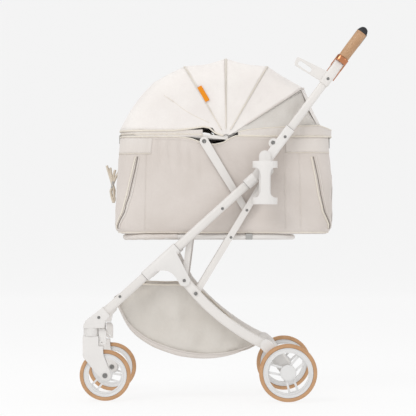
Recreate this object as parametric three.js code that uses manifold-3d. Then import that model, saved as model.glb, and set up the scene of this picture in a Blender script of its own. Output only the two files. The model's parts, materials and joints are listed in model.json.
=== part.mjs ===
// Pet stroller: a soft cabin with a folding hood, carried on a folding two-sided tube frame.
// Millimetres. -X is forwards, +X is the handle end, +Z is up and +Y is the right-hand side.
// Most pieces are drawn in the side view, as [x, z] points, and given a width along Y.

import * as THREE from 'three';
import { mergeVertices } from 'three/addons/utils/BufferGeometryUtils.js';
import Module from 'manifold-3d';

const wasm = await Module();
wasm.setup();

// ---------------------------------------------------------------- driving dimensions

const GAP = 0.3; // between pieces that touch
const RUNNING = 0.5; // between pieces that slide past each other
const ARC_STEPS = 5; // straight pieces in each arc of an outline
const ROUND_SIDES = 16; // sides of a small round bar

const CABIN_WIDTH = 325;
const CABIN_LENGTH = 572; // at the rim
const CABIN_WALL = 6;
const CABIN_CORNER = 52;
const PAD_THICKNESS = 20;

const TUBE_DEPTH = 24; // main and handle tubes, in the side view
const TUBE_WIDTH = 18;
const LEG_DEPTH = 27;
const LEG_WIDTH = 16;
const WALL = 3; // of the mouldings round the tubes
const STRUT_DEPTH = 18;
const STRUT_WIDTH = 8.5;
const ARM_DEPTH = 18;
const ARM_WIDTH = 7.5;
const HANDLE_DEPTH = 22;
const HANDLE_WIDTH = 16;
const TONGUE_WIDTH = 9.4; // of the handle hinge's inner half

const FRONT_RADIUS = 70;
const FRONT_TYRE_WIDTH = 20;
const REAR_RADIUS = 79;
const REAR_TYRE_WIDTH = 22;
const TYRE_HEIGHT = 11; // from the rim to the tread
const RIM_HEIGHT = 13;
const AXLE_RADIUS = 5;
const PIN_RADIUS = 4;

const SWIVEL_X = -362;
const TRAIL = 39; // from the swivel axis back to the front axle
const REAR_AXLE_X = 175.5;
const TUBE_ANGLE = 42; // degrees above the ground
const TUBE_LENGTH = 570;
const HANDLE_ANGLE = 53.2;
const HANDLE_LENGTH = 441; // from the hinge to the cross bar
const GRIP_LENGTH = 92;
const GRIP_RADIUS = 15.5;
const CROSS_BAR_RADIUS = 13;

const HOOP_THICKNESS = 2.2;
const HOOP_DEPTH = 10;
const HOOD_CLOTH = 1.2;
const CLOTH_STANDOFF = 8; // from a hoop to the outside of the cloth over it
const HOOD_CLEARANCE = 0.8; // from the cabin's side to the outermost hoop
const HOOP_CORNER = 105; // where a hoop's legs bend into its bow
const HOOD_REACH = CABIN_LENGTH / 2; // from the pivot to the front hoop's bow
// each hood hoop's angle above the rearward horizontal, and its reach from the pivot
const HOOPS = [
  { angle: 176, reach: HOOD_REACH },
  { angle: 120, reach: 0.787 * HOOD_REACH },
  { angle: 90, reach: 0.752 * HOOD_REACH },
  { angle: 60, reach: 0.787 * HOOD_REACH },
  { angle: 33, reach: 0.867 * HOOD_REACH },
];

const HOLDER_RADIUS = 34; // of the cup holder
const HOLDER_WALL = 3.5;
const HOLDER_BAND = 18;
const HOLDER_HEIGHT = 117;

// ---------------------------------------------------------------- places

const radians = THREE.MathUtils.degToRad;

// The point at a distance from another, in a direction given in degrees.
function from([x, z], angle, distance) {
  return [x + distance * Math.cos(radians(angle)), z + distance * Math.sin(radians(angle))];
}

const between = ([x0, z0], [x1, z1], share) => [x0 + share * (x1 - x0), z0 + share * (z1 - z0)];

// side planes, counted outwards from the middle of the stroller
const MOULDING_HALF = TUBE_WIDTH / 2 + WALL;
const CABIN_HALF = CABIN_WIDTH / 2;
const ARM_PLANE = CABIN_HALF + 1.5 + ARM_WIDTH / 2;
const STRUT_PLANE = ARM_PLANE + ARM_WIDTH / 2 + RUNNING + STRUT_WIDTH / 2;
const TUBE_PLANE = STRUT_PLANE + STRUT_WIDTH / 2 + RUNNING + MOULDING_HALF;
const CASTER_PLANE = TUBE_PLANE - TUBE_WIDTH / 2;
const HOUSING_OUTER = TUBE_PLANE + MOULDING_HALF + 6.5;
const REAR_WHEEL_PLANE = HOUSING_OUTER + 2.5 + REAR_TYRE_WIDTH / 2;
const HOLDER_PLANE = TUBE_PLANE + MOULDING_HALF + 3;

// the swivelling front end, from the floor up
const FRONT_AXLE = [SWIVEL_X + TRAIL, FRONT_RADIUS];
const CROWN_BOTTOM = 2 * FRONT_RADIUS + 4;
const SWIVEL_TOP = CROWN_BOTTOM + 33;
const BARREL_RADIUS = 20.5;
const HEAD_BOTTOM = SWIVEL_TOP + 23;
const FOOT = [SWIVEL_X + 22, SWIVEL_TOP + 50]; // foot of the main tube's centre line

// the frame above it is laid out from the foot of the main tube
const frame = (x, z) => [FOOT[0] + x, FOOT[1] + z];
const alongTube = (distance) => from(FOOT, TUBE_ANGLE, distance);
const TUBE_TOP = alongTube(TUBE_LENGTH);
const HUB_START = 169;
const HUB_END = 287;
const HINGE = [TUBE_TOP[0] + 32, TUBE_TOP[1] + 46];
const LEG_PIVOT = frame(264.6, 66.4);
const LATCH = frame(233.2, 101.9);
const STRUT_TOP = [HINGE[0] + 11, HINGE[1] - 26.6];
const RING_HEIGHT = frame(0, 220)[1];
const RIM_HEIGHT_Z = frame(0, 493)[1];
const CABIN_MIDDLE = frame(341, 0)[0];
const HOOD_PIVOT = [CABIN_MIDDLE + 6, RIM_HEIGHT_Z];
const CROSS_TUBE = frame(48, 50);

const REAR_AXLE = [REAR_AXLE_X, REAR_RADIUS];
const LEG_END = [REAR_AXLE[0] - 48, REAR_AXLE[1] + 68];
const REAR_CROSS_TUBE = [LEG_END[0] + 3, LEG_END[1] - 7];
const REAR_CROSS_RADIUS = 9;

// ---------------------------------------------------------------- materials

const paint = (color, roughness, metalness = 0) =>
  new THREE.MeshStandardMaterial({ color, roughness, metalness });

const frameWhite = paint('#e4e0dc', 0.45);
const mouldedWhite = paint('#e6e3e0', 0.5);
const wheelWhite = paint('#e3e6e8', 0.4);
const tyreTan = paint('#c4966c', 0.75);
const cloth = paint('#d9d2cc', 0.95);
const hoodCloth = paint('#ebe8e4', 0.95);
const basketCloth = paint('#d2cdc5', 0.95);
const meshCloth = paint('#dcd9d5', 0.95);
const leatherTan = paint('#c4a07d', 0.6);
const roseGold = paint('#b97a56', 0.25, 1);
const softBlack = paint('#26262a', 0.6);

// ---------------------------------------------------------------- shapes

function solidOf(geometry) {
  const plain = geometry.index ? geometry.toNonIndexed() : geometry.clone();
  plain.deleteAttribute('normal');
  plain.deleteAttribute('uv');
  const merged = mergeVertices(plain, 1e-4);
  const vertProperties = merged.attributes.position.array;
  const triVerts = Uint32Array.from(merged.index.array);
  return new wasm.Manifold(new wasm.Mesh({ numProp: 3, vertProperties, triVerts }));
}

function geometryOf(solid) {
  const { vertProperties, triVerts } = solid.getMesh();
  const geometry = new THREE.BufferGeometry();
  geometry.setAttribute('position', new THREE.BufferAttribute(vertProperties, 3));
  geometry.setIndex(new THREE.BufferAttribute(triVerts, 1));
  return geometry;
}

const join = (...pieces) => geometryOf(pieces.map(solidOf).reduce((a, b) => a.add(b)));
const common = (...pieces) => geometryOf(pieces.map(solidOf).reduce((a, b) => a.intersect(b)));
const cut = (piece, ...tools) =>
  geometryOf(tools.map(solidOf).reduce((a, b) => a.subtract(b), solidOf(piece)));

const shapeOf = (outline) =>
  outline instanceof THREE.Shape ? outline : new THREE.Shape(outline.map(([x, z]) => new THREE.Vector2(x, z)));

// A side-view outline given a width along Y, centred on y = middle.
function sidePlate(outline, width, middle = 0) {
  const settings = { depth: width, bevelEnabled: false, curveSegments: ARC_STEPS };
  const geometry = new THREE.ExtrudeGeometry(shapeOf(outline), settings);
  geometry.rotateX(Math.PI / 2);
  return geometry.translate(0, middle + width / 2, 0);
}

// A plan-view outline given a height, from z = bottom up.
function floorPlate(outline, bottom, height) {
  const settings = { depth: height, bevelEnabled: false, curveSegments: ARC_STEPS };
  return new THREE.ExtrudeGeometry(shapeOf(outline), settings).translate(0, 0, bottom);
}

// A front-view outline, as [y, z], given a length along X.
function frontPlate(outline, start, length) {
  const settings = { depth: length, bevelEnabled: false, curveSegments: ARC_STEPS };
  const geometry = new THREE.ExtrudeGeometry(shapeOf(outline), settings);
  const turn = new THREE.Matrix4().makeBasis(
    new THREE.Vector3(0, 1, 0), new THREE.Vector3(0, 0, 1), new THREE.Vector3(1, 0, 0));
  return geometry.applyMatrix4(turn).translate(start, 0, 0);
}

// A rectangle with round corners, centred on a point.
function roundedRectangle(width, height, radius, [x, z] = [0, 0]) {
  const shape = new THREE.Shape();
  const right = width / 2 - radius;
  const top = height / 2 - radius;
  shape.absarc(x + right, z + top, radius, 0, Math.PI / 2);
  shape.absarc(x - right, z + top, radius, Math.PI / 2, Math.PI);
  shape.absarc(x - right, z - top, radius, Math.PI, 1.5 * Math.PI);
  shape.absarc(x + right, z - top, radius, 1.5 * Math.PI, 2 * Math.PI);
  return shape;
}

// A rectangle with sharp corners, centred on the origin.
const rectangle = (width, height) => shapeOf([
  [-width / 2, -height / 2], [width / 2, -height / 2], [width / 2, height / 2], [-width / 2, height / 2],
]);

// The outline round two circles and the straight sides between them.
function linkOutline([x0, z0], radius0, [x1, z1], radius1) {
  const heading = Math.atan2(z1 - z0, x1 - x0);
  const spread = Math.acos((radius0 - radius1) / Math.hypot(x1 - x0, z1 - z0));
  const shape = new THREE.Shape();
  shape.absarc(x0, z0, radius0, heading + spread, heading - spread + 2 * Math.PI);
  shape.absarc(x1, z1, radius1, heading - spread, heading + spread);
  return shape;
}

// A straight bar between two side-view points. The section is drawn as width along Y by depth.
function bar(section, start, end, middle = 0) {
  const [dx, dz] = [end[0] - start[0], end[1] - start[1]];
  const length = Math.hypot(dx, dz);
  const settings = { depth: length, bevelEnabled: false, curveSegments: 3 };
  const geometry = new THREE.ExtrudeGeometry(section, settings);
  const turn = new THREE.Matrix4().makeBasis(
    new THREE.Vector3(0, 1, 0),
    new THREE.Vector3(-dz / length, 0, dx / length),
    new THREE.Vector3(dx / length, 0, dz / length));
  return geometry.applyMatrix4(turn).translate(start[0], middle, start[1]);
}

// A round bar along Y at a side-view point, from one y to another.
function rod([x, z], radius, start, end, sides = ROUND_SIDES) {
  const geometry = new THREE.CylinderGeometry(radius, radius, Math.abs(end - start), sides);
  return geometry.translate(x, (start + end) / 2, z);
}

// A ring or disc turned about Y at a side-view point, from a closed [radius, y] profile.
function turned(profile, [x, z], segments) {
  const points = profile.map(([radius, y]) => new THREE.Vector2(radius, y));
  return new THREE.LatheGeometry([...points, points[0]], segments).translate(x, 0, z);
}

// A polygon with each side moved inwards by a distance.
function inset(points, distance) {
  const corners = points.map(([x, z]) => new THREE.Vector2(x, z));
  const inwards = Math.sign(THREE.ShapeUtils.area(corners));
  const normal = (a, b) => new THREE.Vector2(a.y - b.y, b.x - a.x).normalize().multiplyScalar(inwards);
  return corners.map((corner, i) => {
    const before = normal(corners.at(i - 1), corner);
    const after = normal(corner, corners[(i + 1) % corners.length]);
    const way = before.clone().add(after).normalize();
    const moved = corner.clone().addScaledVector(way, distance / way.dot(before));
    return [moved.x, moved.y];
  });
}

// ---------------------------------------------------------------- scene

const stroller = new THREE.Group();

function add(name, geometry, material, y = 0) {
  const mesh = new THREE.Mesh(geometry, material);
  mesh.name = name;
  mesh.position.y = y;
  stroller.add(mesh);
}

// Adds a left and a right copy, each built for its side: -1 is left and +1 is right.
function addPair(name, build, material, plane) {
  add(`${name}_left`, build(-1), material, -plane);
  add(`${name}_right`, build(1), material, plane);
}

// ---------------------------------------------------------------- frame

const tubeSection = roundedRectangle(TUBE_WIDTH, TUBE_DEPTH, 8);
const tubeSocket = roundedRectangle(TUBE_WIDTH + 2 * GAP, TUBE_DEPTH + 2 * GAP, 8 + GAP);
const sleeveSection = roundedRectangle(2 * MOULDING_HALF, TUBE_DEPTH + 2 * WALL, 8 + WALL);
const SOCKET_BOTTOM = 4;

addPair('main_tube', () => bar(tubeSection, alongTube(SOCKET_BOTTOM + GAP), TUBE_TOP), frameWhite, TUBE_PLANE);

// The hub is a sleeve on the main tube with a forked arm that the rear leg's top swings into.
function hub() {
  const sleeve = bar(sleeveSection, alongTube(HUB_START), alongTube(HUB_END));
  const web = new THREE.Shape();
  web.moveTo(...alongTube(HUB_START + 12));
  web.lineTo(...frame(147, 125));
  web.quadraticCurveTo(...frame(176, 133), ...frame(192, 126));
  web.quadraticCurveTo(...frame(210, 116), ...from(LATCH, 217, 16));
  web.absarc(...LATCH, 16, radians(217), radians(400));
  web.lineTo(...alongTube(HUB_END - 8));
  const fork = frame(0, 123)[1];
  const slot = [frame(180, 0)[0], fork - 90, frame(330, 0)[0], fork + 23];
  const legSlot = [
    [slot[0], slot[1]],
    [slot[2], slot[1]],
    [slot[2], slot[3]],
    [slot[0] + 30, slot[3]],
    [slot[0] + 12, fork],
  ];
  return cut(
    join(sleeve, sidePlate(web, 2 * MOULDING_HALF)),
    sidePlate(legSlot, LEG_WIDTH + 2 * RUNNING),
    bar(tubeSocket, alongTube(HUB_START - 5), alongTube(HUB_END + 5)));
}

addPair('frame_hub', hub, mouldedWhite, TUBE_PLANE);

// The head closes the foot of the main tube and holds the caster's swivel barrel.
function frontHead(side) {
  const outline = [
    [SWIVEL_X - BARREL_RADIUS, HEAD_BOTTOM],
    [SWIVEL_X - BARREL_RADIUS, HEAD_BOTTOM + 6],
    [SWIVEL_X - 14, HEAD_BOTTOM + 20],
    from(alongTube(27), TUBE_ANGLE + 90, TUBE_DEPTH / 2 + WALL),
    from(alongTube(27), TUBE_ANGLE - 90, TUBE_DEPTH / 2 + WALL),
    [FOOT[0] + 18, HEAD_BOTTOM + 20],
    [FOOT[0] + 14, HEAD_BOTTOM],
  ];
  const barrel = new THREE.CylinderGeometry(BARREL_RADIUS, BARREL_RADIUS, HEAD_BOTTOM - SWIVEL_TOP + 10, 24);
  barrel.rotateX(Math.PI / 2);
  barrel.translate(SWIVEL_X, 0, (HEAD_BOTTOM + SWIVEL_TOP + 10) / 2 + GAP);
  const offset = side * (TUBE_PLANE - CASTER_PLANE);
  return cut(
    join(sidePlate(outline, 2 * (MOULDING_HALF + offset * side)), barrel),
    bar(tubeSocket, alongTube(SOCKET_BOTTOM), alongTube(40), offset));
}

addPair('front_head', frontHead, mouldedWhite, CASTER_PLANE);

const frontCrossHalf = TUBE_PLANE - TUBE_WIDTH / 2 - GAP;
add('front_cross_tube', rod(CROSS_TUBE, 8, -frontCrossHalf, frontCrossHalf), frameWhite);

// The strut ends in a pin, on which the rear leg turns.
function strut(side) {
  const flat = sidePlate(linkOutline(LEG_PIVOT, STRUT_DEPTH / 2, STRUT_TOP, STRUT_DEPTH / 2), STRUT_WIDTH);
  const inner = side * (STRUT_WIDTH / 2 - 1);
  const outer = side * (TUBE_PLANE - STRUT_PLANE + LEG_WIDTH / 2 + 3);
  const topOuter = side * (TUBE_PLANE - STRUT_PLANE - TONGUE_WIDTH / 2 - GAP);
  return join(flat, rod(LEG_PIVOT, PIN_RADIUS, inner, outer), rod(STRUT_TOP, PIN_RADIUS, inner, topOuter));
}

addPair('strut', strut, frameWhite, STRUT_PLANE);

const ARM_TOP = [CABIN_MIDDLE - 54, RIM_HEIGHT_Z - 10];
const ARM_FOOT = between(LEG_PIVOT, STRUT_TOP, 0.68);
const armOutline = linkOutline(ARM_TOP, 12.3, ARM_FOOT, ARM_DEPTH / 2);
addPair('rim_arm', () => sidePlate(armOutline, ARM_WIDTH), frameWhite, ARM_PLANE);

// The ring is a tube loop under the cabin, with a post on each side down to the hub's latch.
const RING_TUBE = 14;
const RING_FRONT = CABIN_MIDDLE - 279;
const RING_REAR = CABIN_MIDDLE + 197;

function tubeLoop(front, rear, halfWidth, cornerRadius, tube, middleHeight) {
  const bevel = 0.3 * tube;
  const size = [rear - front, 2 * halfWidth];
  const middle = [(front + rear) / 2, 0];
  const shrink = (by) => roundedRectangle(size[0] - 2 * by, size[1] - 2 * by, cornerRadius - by, middle);
  const shape = shrink(bevel);
  shape.holes.push(shrink(tube - bevel));
  const settings = {
    depth: tube - 2 * bevel, bevelEnabled: true, bevelThickness: bevel, bevelSize: bevel, bevelSegments: 1,
    curveSegments: 8,
  };
  const geometry = new THREE.ExtrudeGeometry(shape, settings);
  return geometry.translate(0, 0, middleHeight - tube / 2 + bevel);
}

function baseRing() {
  const loop = tubeLoop(RING_FRONT, RING_REAR, CABIN_HALF, 70, RING_TUBE, RING_HEIGHT);
  const postTop = [LATCH[0] + 15, RING_HEIGHT];
  const crossingShare = (RING_HEIGHT - LEG_PIVOT[1]) / (STRUT_TOP[1] - LEG_PIVOT[1]);
  const strutCrossing = between(LEG_PIVOT, STRUT_TOP, crossingShare);
  const sides = [-1, 1].flatMap((side) => [
    sidePlate(linkOutline(postTop, 8, LATCH, 8), STRUT_WIDTH, side * STRUT_PLANE),
    rod(postTop, 5, side * (CABIN_HALF - 3), side * STRUT_PLANE),
    rod(strutCrossing, 5, side * (CABIN_HALF - 3), side * (STRUT_PLANE - STRUT_WIDTH / 2 - GAP)),
  ]);
  return join(loop, ...sides);
}

add('base_ring', baseRing(), frameWhite);

// The lower half of the handle's hinge: a socket on the main tube's top, a tongue and its pin.
function lowerHinge(side) {
  const sleeve = bar(sleeveSection, alongTube(TUBE_LENGTH - 28), from(TUBE_TOP, TUBE_ANGLE, 4));
  const socket = bar(tubeSocket, alongTube(TUBE_LENGTH - 40), from(TUBE_TOP, TUBE_ANGLE, GAP));
  const tongue = sidePlate(linkOutline(from(TUBE_TOP, TUBE_ANGLE, 2), 12, HINGE, 11.5), TONGUE_WIDTH);
  const brace = sidePlate(linkOutline(from(TUBE_TOP, TUBE_ANGLE, 6), 10, STRUT_TOP, 10), TONGUE_WIDTH);
  const pin = rod(HINGE, PIN_RADIUS + 1, 0, side * (HOLDER_PLANE - TUBE_PLANE - 2 - GAP));
  return join(cut(sleeve, socket), cut(join(tongue, brace), socket), pin);
}

addPair('lower_hinge', lowerHinge, mouldedWhite, TUBE_PLANE);

// ---------------------------------------------------------------- cabin

const RIM_TUBE = 11;
const HOOP_LAYER = HOOP_THICKNESS + 0.4;
const RIM_HALF = CABIN_HALF - HOOD_CLEARANCE - HOOPS.length * HOOP_LAYER;
const RIM_FRONT = CABIN_MIDDLE - CABIN_LENGTH / 2;
const RIM_REAR = CABIN_MIDDLE + CABIN_LENGTH / 2;

// The rim is a tube loop with the hood's pivot pins and the arms' bosses on its sides.
function cabinRim() {
  const loop = tubeLoop(RIM_FRONT, RIM_REAR, RIM_HALF, 60, RIM_TUBE, RIM_HEIGHT_Z);
  const pins = [-1, 1].flatMap((side) => [
    rod(HOOD_PIVOT, PIN_RADIUS - 1, side * (RIM_HALF - 3), side * (CABIN_HALF - 0.2)),
    sidePlate(linkOutline([ARM_TOP[0], RIM_HEIGHT_Z], 5, ARM_TOP, 7), 4, side * (RIM_HALF - 2.5)),
    rod(ARM_TOP, 3.5, side * (RIM_HALF - 3), side * (ARM_PLANE - ARM_WIDTH / 2 - GAP)),
  ]);
  return join(loop, ...pins);
}

add('cabin_rim', cabinRim(), frameWhite);

const CABIN_BOTTOM = RING_HEIGHT + RING_TUBE / 2 + 1;
const CABIN_TOP = RIM_HEIGHT_Z - RIM_TUBE / 2 - 1;

function cabinOutline() {
  const half = CABIN_LENGTH / 2;
  return [
    [CABIN_MIDDLE - half, CABIN_TOP],
    [CABIN_MIDDLE - half - 6, CABIN_TOP - 64],
    [CABIN_MIDDLE - half - 17, CABIN_BOTTOM + 26],
    [CABIN_MIDDLE - half - 12, CABIN_BOTTOM + 7],
    [CABIN_MIDDLE - half, CABIN_BOTTOM],
    [CABIN_MIDDLE + half - 2, CABIN_BOTTOM],
    [CABIN_MIDDLE + half + 9, CABIN_BOTTOM + 9],
    [CABIN_MIDDLE + half + 13, CABIN_BOTTOM + 30],
    [CABIN_MIDDLE + half + 13, CABIN_TOP - 96],
    [CABIN_MIDDLE + half + 3, CABIN_TOP - 38],
    [CABIN_MIDDLE + half, CABIN_TOP],
  ];
}

function cabin() {
  const outline = cabinOutline();
  const height = CABIN_TOP - CABIN_BOTTOM;
  const planLength = CABIN_LENGTH + 40;
  const body = (by) => common(
    sidePlate(inset(outline, by), CABIN_WIDTH - 2 * by),
    floorPlate(
      roundedRectangle(planLength - 2 * by, CABIN_WIDTH - 2 * by, CABIN_CORNER - by, [CABIN_MIDDLE, 0]),
      CABIN_BOTTOM, height));
  const mouth = roundedRectangle(
    CABIN_LENGTH - 2 * CABIN_WALL, CABIN_WIDTH - 2 * CABIN_WALL, CABIN_CORNER - CABIN_WALL, [CABIN_MIDDLE, 0]);
  const bossNotch = sidePlate(roundedRectangle(34, 36, 8, [ARM_TOP[0], CABIN_TOP]), 2 * CABIN_WIDTH);
  return cut(
    body(0),
    body(CABIN_WALL),
    floorPlate(mouth, CABIN_TOP - 2 * CABIN_WALL, 4 * CABIN_WALL),
    bossNotch);
}

add('cabin', cabin(), cloth);

const PAD_MARGIN = 16;
const padOutline = roundedRectangle(
  CABIN_LENGTH - 2 * PAD_MARGIN, CABIN_WIDTH - 2 * PAD_MARGIN, CABIN_CORNER - 8, [CABIN_MIDDLE, 0]);
add('floor_pad', floorPlate(padOutline, CABIN_BOTTOM + CABIN_WALL + GAP, PAD_THICKNESS), cloth);

// The front strap hangs from the cabin's nose and ends in a buckle.
function frontStrap() {
  const top = [RIM_FRONT - 12, CABIN_TOP - 74];
  const knot = [top[0] - 16, top[1] - 46];
  const tip = [top[0] - 15, top[1] - 96];
  return join(
    sidePlate(linkOutline(top, 4, knot, 6), 25),
    sidePlate(linkOutline(knot, 6, tip, 4), 25),
    sidePlate(linkOutline(knot, 4, [knot[0] - 10, knot[1] + 34], 2), 20));
}

add('front_strap', frontStrap(), cloth);

// ---------------------------------------------------------------- hood

// Each hoop is a flat strip: an eye and a leg in its own layer on each side, and a bow between them.
function hoop({ angle, reach }, index) {
  const half = CABIN_HALF - HOOD_CLEARANCE - index * HOOP_LAYER - HOOP_THICKNESS / 2;
  const bowHalf = half - HOOP_CORNER;
  const legTop = reach - HOOP_CORNER;
  const point = (y, radius) => new THREE.Vector3(0, y, radius);
  const path = new THREE.CurvePath();
  path.add(new THREE.LineCurve3(point(-half, 0), point(-half, legTop)));
  path.add(new THREE.QuadraticBezierCurve3(point(-half, legTop), point(-half, reach), point(-bowHalf, reach)));
  path.add(new THREE.LineCurve3(point(-bowHalf, reach), point(bowHalf, reach)));
  path.add(new THREE.QuadraticBezierCurve3(point(bowHalf, reach), point(half, reach), point(half, legTop)));
  path.add(new THREE.LineCurve3(point(half, legTop), point(half, 0)));
  const section = rectangle(HOOP_THICKNESS, HOOP_DEPTH);
  const strip = new THREE.ExtrudeGeometry(section, { steps: 36, bevelEnabled: false, extrudePath: path });
  const [eyeInner, eyeOuter] = [half - HOOP_THICKNESS / 2, half + HOOP_THICKNESS / 2];
  const eye = (side) => rod([0, 0], HOOP_DEPTH / 2 + 1, side * eyeInner, side * eyeOuter);
  const bore = rod([0, 0], PIN_RADIUS - 1 + GAP, -CABIN_WIDTH, CABIN_WIDTH);
  const flat = cut(join(strip, eye(-1), eye(1)), bore);
  return flat.rotateY(radians(90 - angle)).translate(HOOD_PIVOT[0], 0, HOOD_PIVOT[1]);
}

HOOPS.forEach((size, index) => add(`hood_hoop_${index + 1}`, hoop(size, index), frameWhite));

// The hood's cloth is a curved shell over the hoops, cut into gores at the hoops' angles.
function hoodShell() {
  const [x, z] = HOOD_PIVOT;
  const roof = HOOPS.map(({ angle, reach }) => from(HOOD_PIVOT, angle, reach + CLOTH_STANDOFF));
  const outline = [
    [RIM_FRONT - 5, z],
    roof[0],
    from(HOOD_PIVOT, 152, 0.92 * HOOD_REACH),
    from(HOOD_PIVOT, 140, 0.906 * HOOD_REACH),
    ...roof.slice(1),
    from(HOOD_PIVOT, 25.5, 0.881 * HOOD_REACH),
    from(HOOD_PIVOT, 20, 0.902 * HOOD_REACH),
    [RIM_REAR + 8, z + 22],
    [RIM_REAR + 8, z],
  ];
  const arch = (by) => {
    const half = CABIN_HALF + HOOD_CLEARANCE - by;
    const crown = roof[2][1] - by;
    const round = 88;
    const shape = new THREE.Shape();
    shape.moveTo(-half, z);
    shape.lineTo(-half, crown - round);
    shape.quadraticCurveTo(-half, crown, round - half, crown);
    shape.lineTo(half - round, crown);
    shape.quadraticCurveTo(half, crown, half, crown - round);
    shape.lineTo(half, z);
    return frontPlate(shape, x - CABIN_LENGTH, 2 * CABIN_LENGTH);
  };
  const plan = (by) => {
    const size = [CABIN_LENGTH + 13 - 2 * by, CABIN_WIDTH + 2 * HOOD_CLEARANCE - 2 * by];
    return floorPlate(roundedRectangle(...size, 60 - by, [CABIN_MIDDLE + 1.5, 0]), z - 10, CABIN_LENGTH);
  };
  const hollow = inset(outline, HOOD_CLOTH);
  hollow[0][1] = z - 5;
  hollow.at(-1)[1] = z - 5;
  return cut(
    common(sidePlate(outline, 2 * CABIN_WIDTH), arch(0), plan(0)),
    common(sidePlate(hollow, 2 * CABIN_WIDTH), arch(HOOD_CLOTH), plan(HOOD_CLOTH)));
}

function gore(shell, high, low) {
  const far = (angle) => from(HOOD_PIVOT, angle, 2 * CABIN_LENGTH);
  const wedge = [HOOD_PIVOT, far(low), far((low + high) / 2), far(high)];
  const pivotHole = rod(HOOD_PIVOT, 22, -CABIN_WIDTH, CABIN_WIDTH);
  return cut(common(shell, sidePlate(wedge, 2 * CABIN_WIDTH)), pivotHole);
}

const SEAM = 0.2; // half the gap between gores, in degrees
const shell = hoodShell();
HOOPS.slice(1).forEach(({ angle }, index) => {
  add(`hood_gore_${index + 1}`, gore(shell, HOOPS[index].angle - SEAM, angle + SEAM), hoodCloth);
});
add('hood_rear_panel', gore(shell, HOOPS.at(-1).angle - SEAM, 5), meshCloth);

// ---------------------------------------------------------------- basket

function basket() {
  const topFront = frame(113.5, 92.4);
  const topMiddle = frame(231.6, 90.2);
  const rear = frame(437, -72);
  const outline = [
    topFront,
    frame(44, 36),
    frame(83, -41),
    frame(128, -78),
    frame(183.5, -102.5),
    frame(280, -120),
    frame(367.5, -107),
    rear,
    topMiddle,
  ];
  const thickness = 3;
  const hollow = inset(outline, thickness);
  const above = [rear[0] + 60, topMiddle[1] + 60];
  hollow.splice(0, 1, frame(113.5 - thickness, 92.4), [topFront[0], above[1]]);
  hollow.splice(hollow.length - 2, 2, [rear[0] + 4, rear[1] + thickness], above);
  return cut(sidePlate(outline, CABIN_WIDTH - 16), sidePlate(hollow, CABIN_WIDTH - 16 - 2 * thickness));
}

add('storage_basket', basket(), basketCloth);

// ---------------------------------------------------------------- cup holder

function cupHolder() {
  const back = -HOLDER_PLANE;
  const centre = [HINGE[0] - 3, back - HOLDER_RADIUS + 1.5];
  const top = HINGE[1] - 1;
  const bottom = top - HOLDER_HEIGHT;
  const tube = (from, height) => {
    const outer = new THREE.Shape().absarc(...centre, HOLDER_RADIUS, 0, 2 * Math.PI);
    outer.holes.push(new THREE.Path().absarc(...centre, HOLDER_RADIUS - HOLDER_WALL, 0, 2 * Math.PI, true));
    const settings = { depth: height, bevelEnabled: false, curveSegments: 24 };
    return new THREE.ExtrudeGeometry(outer, settings).translate(0, 0, from);
  };
  const plate = linkOutline([centre[0], bottom + 16], 16, [centre[0], HINGE[1] + 13], 16);
  // the front pillar flares into the two bands
  const pillar = new THREE.Shape();
  const [waist, flare] = [12, 26];
  const [upper, lower] = [top - HOLDER_BAND, bottom + HOLDER_BAND];
  pillar.moveTo(centre[0] - flare, top - 2);
  pillar.lineTo(centre[0] - flare, upper);
  pillar.quadraticCurveTo(centre[0] - waist, upper - 3, centre[0] - waist, upper - flare);
  pillar.lineTo(centre[0] - waist, lower + flare);
  pillar.quadraticCurveTo(centre[0] - waist, lower + 3, centre[0] - flare, lower);
  pillar.lineTo(centre[0] - flare, bottom + 2);
  pillar.lineTo(centre[0] + flare, bottom + 2);
  pillar.lineTo(centre[0] + flare, lower);
  pillar.quadraticCurveTo(centre[0] + waist, lower + 3, centre[0] + waist, lower + flare);
  pillar.lineTo(centre[0] + waist, upper - flare);
  pillar.quadraticCurveTo(centre[0] + waist, upper - 3, centre[0] + flare, upper);
  pillar.lineTo(centre[0] + flare, top - 2);
  const frontHalf = sidePlate(pillar, HOLDER_RADIUS, centre[1] - HOLDER_RADIUS);
  const front = common(frontHalf, tube(bottom, HOLDER_HEIGHT));
  const floor = new THREE.Shape().absarc(...centre, HOLDER_RADIUS - 1, 0, 2 * Math.PI);
  const base = new THREE.ExtrudeGeometry(floor, { depth: 3, bevelEnabled: false, curveSegments: 24 });
  return join(
    sidePlate(plate, 4, back),
    tube(top - HOLDER_BAND, HOLDER_BAND),
    tube(bottom, HOLDER_BAND),
    base.translate(0, 0, bottom),
    front);
}

add('cup_holder', cupHolder(), mouldedWhite);

// ---------------------------------------------------------------- handle

const alongHandle = (distance, aside = 0) =>
  from(from(HINGE, HANDLE_ANGLE, distance), HANDLE_ANGLE + 90, aside);
const BRACKET_TOP = 112;
const BRACKET_HALF_DEPTH = HANDLE_DEPTH / 2 + 2.5;
const handleSection = roundedRectangle(HANDLE_WIDTH, HANDLE_DEPTH, 7);
const handleSocket = roundedRectangle(HANDLE_WIDTH + 2 * GAP, HANDLE_DEPTH + 2 * GAP, 7 + GAP);

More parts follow.
